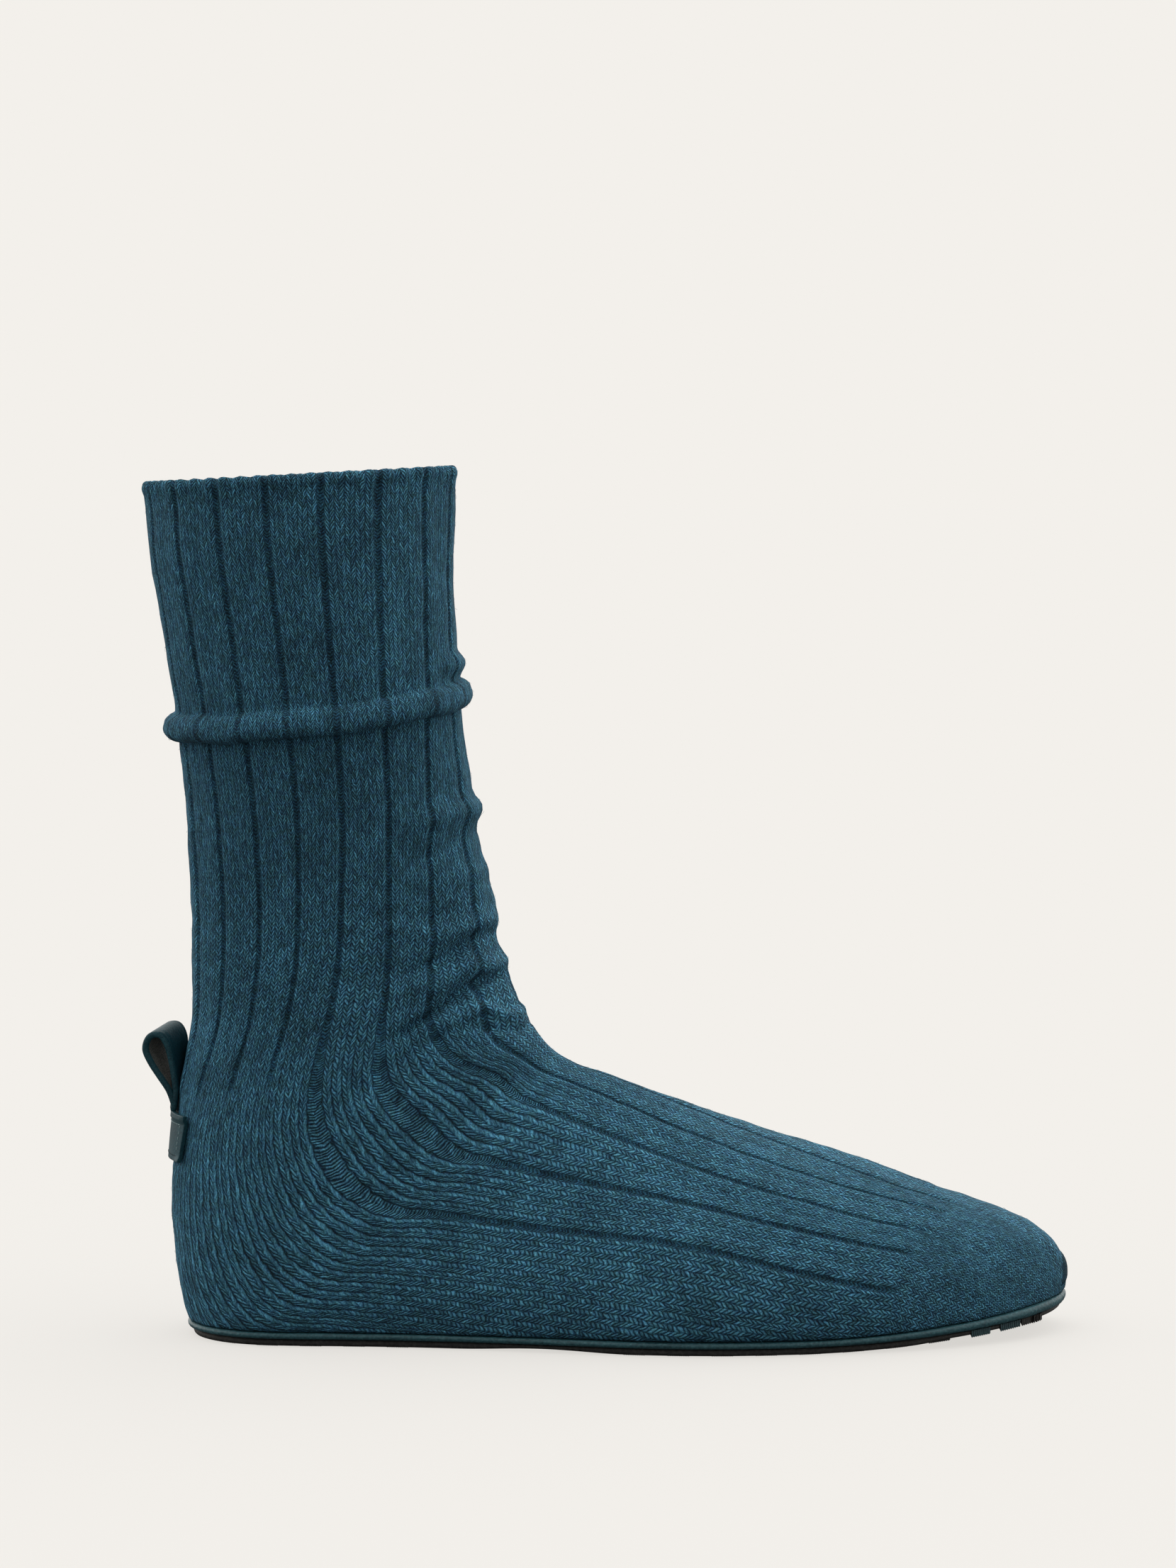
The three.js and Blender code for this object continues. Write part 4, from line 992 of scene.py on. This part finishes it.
def addBar(mesh, start, length, inset, top):
    addBlock(mesh, start, start + length, inset, tread["toothDepth"], top)
    for x in np.arange(start, start + length - tread["toothWidth"], tread["toothPitch"]):
        addBlock(mesh, x, x + tread["toothWidth"], inset - tread["toothOut"], 0.0, top + tread["toothUp"])


sheetLoops = [outsoleSide(share) for share in (0, 0.1, 0.2, 0.4, 1.0)]
for inset, rise in ((tread["swellFrom"], 0.0), (tread["swellTo"], tread["swell"])):
    sheetLoops.append(layer(inset, lambda x: sole["base"] + sole["spring"] * springAt(x) + rise))
outsoleSheet = linkMesh(gridMesh(np.array(sheetLoops), True, capped=True), "outsoleSheet")
sheetLook = grainMaterial("black rubber with painted shade", tread["black"], 700, 0.7, 0.0001)
finishPiece(outsoleSheet, "tread", [sheetLook], "outsole")
barMeshes = (bmesh.new(), bmesh.new(), bmesh.new())
barTop = tread["bars"] + tread["barRise"]
for first, count in ((tread["heelStart"], tread["heelBars"]), (tread["foreStart"], tread["foreBars"])):
    for i in range(count):
        addBar(barMeshes[0], first + i * tread["pitch"], tread["barLength"], tread["barInset"], barTop)
for start, length, tone in tread["toeBars"]:
    addBar(barMeshes[1 + tone], start, length, tread["toeInset"], tread["bars"] + tread["sheet"])
barLooks = (("treadBars", tread["barTones"]), ("toeBars", tread["teal"]), ("toeTip", tread["black"]))
for mesh, (name, tones) in zip(barMeshes, barLooks):
    made = linkMesh(mesh, name)
    for polygon in made.data.polygons:
        polygon.use_smooth = False
    finishPiece(made, "tread", [grainMaterial(name + " rubber", tones, 700, 0.65, 0.00008)])
print("stage: outsole")

# Footbed: a felted sock-lining sheet with a soft crown, laid on the knit inside
footbed = {
    "inset": 4.4, "taper": 0.8, "thickness": 2.5, "wall": 2.0, "round": 0.8, "crown": ((9.0, 0.15), (13.0, 0.225)),
    "felt": (linear(34, 40, 44), linear(58, 66, 70), linear(88, 96, 98)),
}


def footbedLayer(inset, rise):
    return layer(inset, lambda x: knitBottomAt(x) + footbed["wall"] + sole["gap"] + rise)


def footbedSide(turn):
    up = (1 - math.cos(turn)) / 2
    lean = footbed["taper"] * up + footbed["round"] * (1 - math.sin(turn))
    return footbedLayer(footbed["inset"] + lean, footbed["thickness"] * up)


footbedLoops = [footbedSide(turn) for turn in np.linspace(0, math.pi, 9)]
footbedLoops += [footbedLayer(inset, footbed["thickness"] + rise) for inset, rise in footbed["crown"]]
footbedPiece = linkMesh(gridMesh(np.array(footbedLoops), True, capped=True), "footbed")
felt = grainMaterial("felt", footbed["felt"], 1500, 0.95, 0.0003, 0.25)
finishPiece(footbedPiece, "footbed", [felt], "insole")
print("stage: footbed")


def tabLift(across, up):
    # across runs -1 to 1, up 0 to 1: the top edge is folded over, and the corners stand off a little
    fold = smoothStep((up * tabHeight - (tabHeight - tab["fold"])) / 0.3)
    ends = smoothStep((up - 0.8) / 0.2) + smoothStep((0.15 - up) / 0.15)
    corner = smoothStep((abs(across) - 0.75) / 0.25) * ends
    return tab["lift"] + tab["foldRise"] * fold + tab["curl"] * corner


def tabPoint(across, up, rise=0.0):
    width = tab["halfWidth"] - tab["narrowing"] * (1 - up)
    z = tab["bottom"] + up * tabHeight - tab["droop"] * across * across
    return heelPoint(across * width, z, float(tabLift(across, up)) + rise)


tabGrid = np.array([
    [tabPoint(a, u) for a in np.linspace(-1, 1, tab["columns"])] for u in np.linspace(0, 1, tab["rows"])
])
heelTab = linkMesh(gridMesh(tabGrid[:, ::-1], False), "heelTab")
wall = heelTab.modifiers.new("thickness", "SOLIDIFY")
wall.thickness, wall.offset = tab["thickness"] * mm, -1.0
edge = heelTab.modifiers.new("round edge", "BEVEL")
edge.width, edge.segments = tab["bevel"] * mm, 3
edge.limit_method, edge.angle_limit = "ANGLE", math.radians(50)
tabLeather = grainMaterial("smooth leather", tab["tones"], 1500, 0.5, 0.00004, shine=0.16)
finishPiece(heelTab, "strap_leather", [tabLeather], "heel_tab")

# Thread round the patch: light along its sides and under the fold, dark along the bottom
thread = {
    "pitch": 1.5, "length": 1.05, "radius": 0.13, "sideInset": 0.13, "foldGap": 2.6, "bottomGap": 1.5,
    "light": (linear(84, 108, 112), linear(120, 142, 146), linear(156, 172, 174)),
    "dark": (linear(12, 22, 26), linear(24, 38, 42), linear(44, 60, 64)),
}


def addStitch(mesh, centre, along, out, length, radius):
    along = Vector(along).normalized()
    out = (Vector(out) - along * Vector(out).dot(along)).normalized()
    turn = Matrix((along, out.cross(along), out)).transposed()
    for vert in bmesh.ops.create_uvsphere(mesh, u_segments=8, v_segments=6, radius=1.0)["verts"]:
        local = Vector((vert.co.z * length / 2, vert.co.x * radius, vert.co.y * radius))
        vert.co = toFrame(Vector(centre) + turn @ local)


def threadLine(mesh, start, end):
    # stitches from one (across, up) place on the patch to another
    shares = np.linspace(0, 1, 60)
    line = np.array([tabPoint(*(a + (b - a) * t for a, b in zip(start, end))) for t in shares])
    steps = lengthsAlong(line)
    for at in np.arange(thread["pitch"] / 2, steps[-1], thread["pitch"]):
        a, b = interpPoints(np.array((at - 0.4, at + 0.4)), steps, line)
        centre = (a + b) / 2
        out = centre - np.array((centre[0] + 12, centre[1] * 0.1, centre[2]))
        addStitch(mesh, centre - np.array((0.02, 0, 0)), b - a, out, thread["length"], thread["radius"])


sideAt = 1 - thread["sideInset"]
underFold = 1 - thread["foldGap"] / tabHeight
overBottom = thread["bottomGap"] / tabHeight
lightThread, darkThread = bmesh.new(), bmesh.new()
for side in (-1, 1):
    threadLine(lightThread, (side * sideAt, underFold), (side * sideAt, overBottom * 1.8))
threadLine(lightThread, (-sideAt, underFold), (sideAt, underFold))
threadLine(darkThread, (-sideAt, overBottom), (sideAt, overBottom))
for mesh, name, tones in (
        (lightThread, "tabThread", thread["light"]), (darkThread, "tabBottomThread", thread["dark"])):
    cotton = grainMaterial(name + " cotton", tones, 2500, 0.8, 0.00005)
    finishPiece(linkMesh(mesh, name), "strap_leather", [cotton])
print("stage: heel tab")

# Pull loop: a strap bent into a teardrop, smooth outside and suede inside, its top turned a little forwards
strap = {
    "line": (
        (1.3, 62.9), (-0.2, 68.2), (-2.2, 72.4), (-4.2, 76.8), (-5.2, 80.8), (-3.8, 84.2),
        (-0.8, 84.6), (1.1, 81.4), (1.7, 76.0), (1.7, 70.4), (1.6, 66.0),
    ),
    "width": 11.0, "thickness": 1.85, "round": 0.75, "twist": 0.42, "tilt": 0.2, "pinch": 62.9, "height": 22.0,
    "perMark": 8, "outerSteps": 22, "sideSteps": 10, "cornerSteps": 8, "creaseAt": 1.3, "creaseReach": 0.6,
    "creaseDepth": 0.12, "clearance": 0.35, "sunk": 0.6, "tackHalf": 4.4, "tacks": 7, "tackUp": 0.7, "tackLift": 1.6,
    "suede": (linear(34, 38, 38), linear(64, 68, 66), linear(104, 104, 98)),
}


def strapSection():
    # round the strap's cross-section: (sideways, outwards), and whether the place is on the suede side
    half, deep, r = strap["width"] / 2, strap["thickness"] / 2, strap["round"]
    flat = half - r
    groove = lambda y: strap["creaseDepth"] * float(bump(abs(y) - (half - strap["creaseAt"]), strap["creaseReach"]))
    turns = [math.pi * k / strap["cornerSteps"] for k in range(1, strap["cornerSteps"])]
    section = [(y, deep - groove(y), 0) for y in np.linspace(-flat, flat, strap["outerSteps"])]
    section += [(flat + r * math.sin(turn), deep * math.cos(turn), 0) for turn in turns]
    section += [(y, -deep, 1) for y in np.linspace(flat, -flat, strap["sideSteps"])]
    section += [(-flat - r * math.sin(turn), -deep * math.cos(turn), 0) for turn in turns]
    return section


def strapGrid():
    line, ahead = closedCurve(np.array(strap["line"]), strap["perMark"])
    grid = []
    for (x, z), (dx, dz) in zip(line, ahead):
        lean = float(smoothStep((z - strap["pinch"]) / strap["height"]))
        ring = []
        for y, out, _ in strapSection():
            middleZ = z + strap["tilt"] * y * lean
            room = heelBackAt(y, middleZ) - strap["clearance"] - strap["thickness"] / 2
            px = min(x + strap["twist"] * y * lean, room) - dz * out
            ring.append((px, y, max(middleZ + dx * out, tab["top"] - strap["sunk"])))
        grid.append(ring)
    return np.array(grid + grid[:1])


strapPoints = strapGrid()
suedeSide = np.array([[flag for _, _, flag in strapSection()]] * len(strapPoints))
loopMesh = gridMesh(strapPoints, True, None, {"suedeSide": suedeSide})
bmesh.ops.recalc_face_normals(loopMesh, faces=loopMesh.faces)
suedeLayer = loopMesh.verts.layers.float["suedeSide"]
for face in loopMesh.faces:
    face.material_index = int(all(v[suedeLayer] > 0.5 for v in face.verts))
pullLoop = linkMesh(loopMesh, "pullLoop")
suede = grainMaterial("suede", strap["suede"], 2200, 0.95, 0.00025, 0.2)
finishPiece(pullLoop, "strap_leather", [tabLeather, suede], "pull_loop")
loopThread = bmesh.new()
for y in np.linspace(-strap["tackHalf"], strap["tackHalf"], strap["tacks"]):
    foot = heelPoint(y, tab["top"] + strap["tackUp"], strap["tackLift"])
    addStitch(loopThread, foot, (0.3, 0.2, 1), (-1, 0, 0.2), 1.5, 0.16)
darkCotton = grainMaterial("dark cotton", thread["dark"], 2500, 0.8, 0.00005)
finishPiece(linkMesh(loopThread, "loopThread"), "strap_leather", [darkCotton])
print("stage: pull loop")

# Fuzz: short curled hairs of the yarn that stand off the knit
fuzz = {
    "hairs": 5200, "radius": 0.03, "length": (0.7, 2.0), "lift": (0.05, 0.38), "curl": 0.5, "seed": 11,
    "root": 0.1, "arc": 2.2, "bare": {"front": 12, "low": 45, "high": 90, "side": 19},
    "wool": (linear(40, 84, 102), linear(66, 118, 138), linear(100, 152, 168)),
}


def onBareKnit(root):
    # no hairs grow at the rim or round the heel's patch and loop
    bare = fuzz["bare"]
    atTab = root.x < bare["front"] and bare["low"] < root.z < bare["high"] and abs(root.y) < bare["side"]
    return root.z < knitBottomAt(root.x) + 0.5 or atTab


def addFuzz():
    draw = random.Random(fuzz["seed"])
    points, normals = shell[len(rim):], normalsOf(shell)[len(rim):]
    down = np.linalg.norm(np.diff(points, axis=0), axis=2)[:-toeEnd["rings"]]
    across = np.linalg.norm(np.roll(points, -1, axis=1) - points, axis=2)[:-toeEnd["rings"] - 1]
    chances = (down * across).ravel()
    order = np.cumsum(chances / chances.sum())
    data = bpy.data.curves.new("fuzz", "CURVE")
    data.dimensions = "3D"
    data.bevel_depth = fuzz["radius"] * mm
    data.bevel_resolution = 0
    data.use_fill_caps = True
    for _ in range(fuzz["hairs"]):
        row, column = divmod(int(np.searchsorted(order, draw.random())), down.shape[1])
        root, normal = Vector(points[row, column]), Vector(normals[row, column])
        if onBareKnit(root):
            draw.random()  # keeps the order of the draws that follow
            continue
        way = Vector([draw.uniform(-1, 1) for _ in range(3)])
        way = (way - normal * way.dot(normal)).normalized()
        bend = normal.cross(way) * draw.uniform(-1, 1) * fuzz["curl"]
        length, lift = draw.uniform(*fuzz["length"]), draw.uniform(*fuzz["lift"])
        spline = data.splines.new("POLY")
        spline.points.add(3)
        for k, point in enumerate(spline.points):
            t = k / 3
            place = root - normal * fuzz["root"] + way * length * t + bend * length * t * t
            place += normal * lift * math.sin(t * fuzz["arc"])
            point.co = (*toFrame(place), 1)
    made = bpy.data.objects.new("knitFuzz", data)
    bpy.context.scene.collection.objects.link(made)
    return made


finishPiece(addFuzz(), "knit", [grainMaterial("loose wool", fuzz["wool"], 300, 0.9, 0.00001)])
print("stage: fuzz")

# Studio: a pale floor that meets its backdrop, soft light from above and behind, and the camera
studio = {
    "backdrop": linear(243, 240, 235), "front": 0.62, "back": 2.1, "turnFrom": -1.0, "turnTo": 0.05, "above": 0.84,
    "sun": 0.55, "sunAngle": 60, "sunTurn": (-5, 7, 0), "paperGlow": 0.74, "floorSize": 30,
}


def skyLight(directions):
    # light of the studio by direction, as the world's nodes give it
    turn = smoothStep((directions[:, 1] - studio["turnFrom"]) / (studio["turnTo"] - studio["turnFrom"]))
    up = smoothStep(directions[:, 2])
    return (studio["front"] + (studio["back"] - studio["front"]) * turn) * (1 + (studio["above"] - 1) * up)


def paperLight():
    # light that reaches the floor, as a share of what a white sheet would send back
    tilt, turn = np.meshgrid(np.linspace(0, math.pi / 2, 61)[1:-1], np.linspace(0, 2 * math.pi, 73)[:-1])
    ways = np.stack((np.sin(tilt) * np.cos(turn), np.sin(tilt) * np.sin(turn), np.cos(tilt)), axis=2)
    weight = (np.cos(tilt) * np.sin(tilt)).ravel()
    fromSky = float((skyLight(ways.reshape(-1, 3)) * weight).sum() / weight.sum())
    slope = math.cos(math.radians(studio["sunTurn"][0])) * math.cos(math.radians(studio["sunTurn"][1]))
    return fromSky, studio["sun"] * slope / math.pi


sun = bpy.data.lights.new("topLight", "SUN")
sun.energy = studio["sun"]
sun.angle = math.radians(studio["sunAngle"])
sunObject = bpy.data.objects.new("topLight", sun)
sunObject.rotation_euler = [math.radians(a) for a in studio["sunTurn"]]
bpy.context.scene.collection.objects.link(sunObject)

world = bpy.data.worlds.new("studio")
world.use_nodes = True
sky = world.node_tree
seen = sky.nodes["Background"]
seen.inputs[0].default_value = (*studio["backdrop"], 1)
glow = sky.nodes.new("ShaderNodeBackground")
warmth = [c / studio["backdrop"][1] for c in studio["backdrop"]]
glow.inputs[0].default_value = (*warmth, 1)
axes = sky.nodes.new("ShaderNodeSeparateXYZ")
sky.links.new(sky.nodes.new("ShaderNodeTexCoord").outputs["Generated"], axes.inputs[0])
turned = softStep(sky, axes.outputs[1], studio["turnFrom"], studio["turnTo"])
around = calc(sky, "MULTIPLY_ADD", turned, studio["back"] - studio["front"], studio["front"])
upward = calc(sky, "MULTIPLY_ADD", softStep(sky, axes.outputs[2], 0.0, 1.0), studio["above"] - 1, 1.0)
sky.links.new(calc(sky, "MULTIPLY", around, upward), glow.inputs[1])
either = sky.nodes.new("ShaderNodeMixShader")
cameraRay = sky.nodes.new("ShaderNodeLightPath").outputs["Is Camera Ray"]
for socket, output in zip(either.inputs, (cameraRay, glow.outputs[0], seen.outputs[0])):
    sky.links.new(output, socket)
sky.links.new(either.outputs[0], sky.nodes["World Output"].inputs[0])
bpy.context.scene.world = world

floorMesh = bmesh.new()
bmesh.ops.create_grid(floorMesh, x_segments=1, y_segments=1, size=studio["floorSize"])
floor = linkMesh(floorMesh, "floor")
floorMaterial, floorTree, floorShader = newMaterial("paper")
fromSky, fromSun = paperLight()
paper = [b / (fromSky * w + fromSun) for b, w in zip(studio["backdrop"], warmth)]
floorShader.inputs["Base Color"].default_value = (*[p * (1 - studio["paperGlow"]) for p in paper], 1)
floorShader.inputs["Emission Color"].default_value = (*studio["backdrop"], 1)
lightPath = floorTree.nodes.new("ShaderNodeLightPath").outputs["Is Camera Ray"]
paperGlow = calc(floorTree, "MULTIPLY", lightPath, studio["paperGlow"])
floorTree.links.new(paperGlow, floorShader.inputs["Emission Strength"])
floorShader.inputs["Roughness"].default_value = 1.0
floorShader.inputs["Specular IOR Level"].default_value = 0.0
floor.data.materials.append(floorMaterial)

view = {
    "place": (116.3, -1400.0, 241.0), "aim": (116.3, 0.0, 153.5), "pixelsPerMm": 5.06, "height": 2212, "sensor": 36.0,
}
eye, aim = Vector(view["place"]) * mm + shift, Vector(view["aim"]) * mm + shift
focal = view["pixelsPerMm"] * (eye - aim).length / mm
camera = bpy.data.objects.new("camera", bpy.data.cameras.new("camera"))
camera.data.sensor_fit = "VERTICAL"
camera.data.sensor_height = view["sensor"]
camera.data.lens = view["sensor"] * focal / view["height"]
camera.data.clip_start, camera.data.clip_end = 0.05, 60
camera.location = eye
camera.rotation_mode = "QUATERNION"
camera.rotation_quaternion = (aim - eye).to_track_quat("-Z", "Y")
bpy.context.scene.collection.objects.link(camera)
bpy.context.scene.camera = camera
bpy.context.scene.view_settings.view_transform = "Standard"
print("stage: studio")
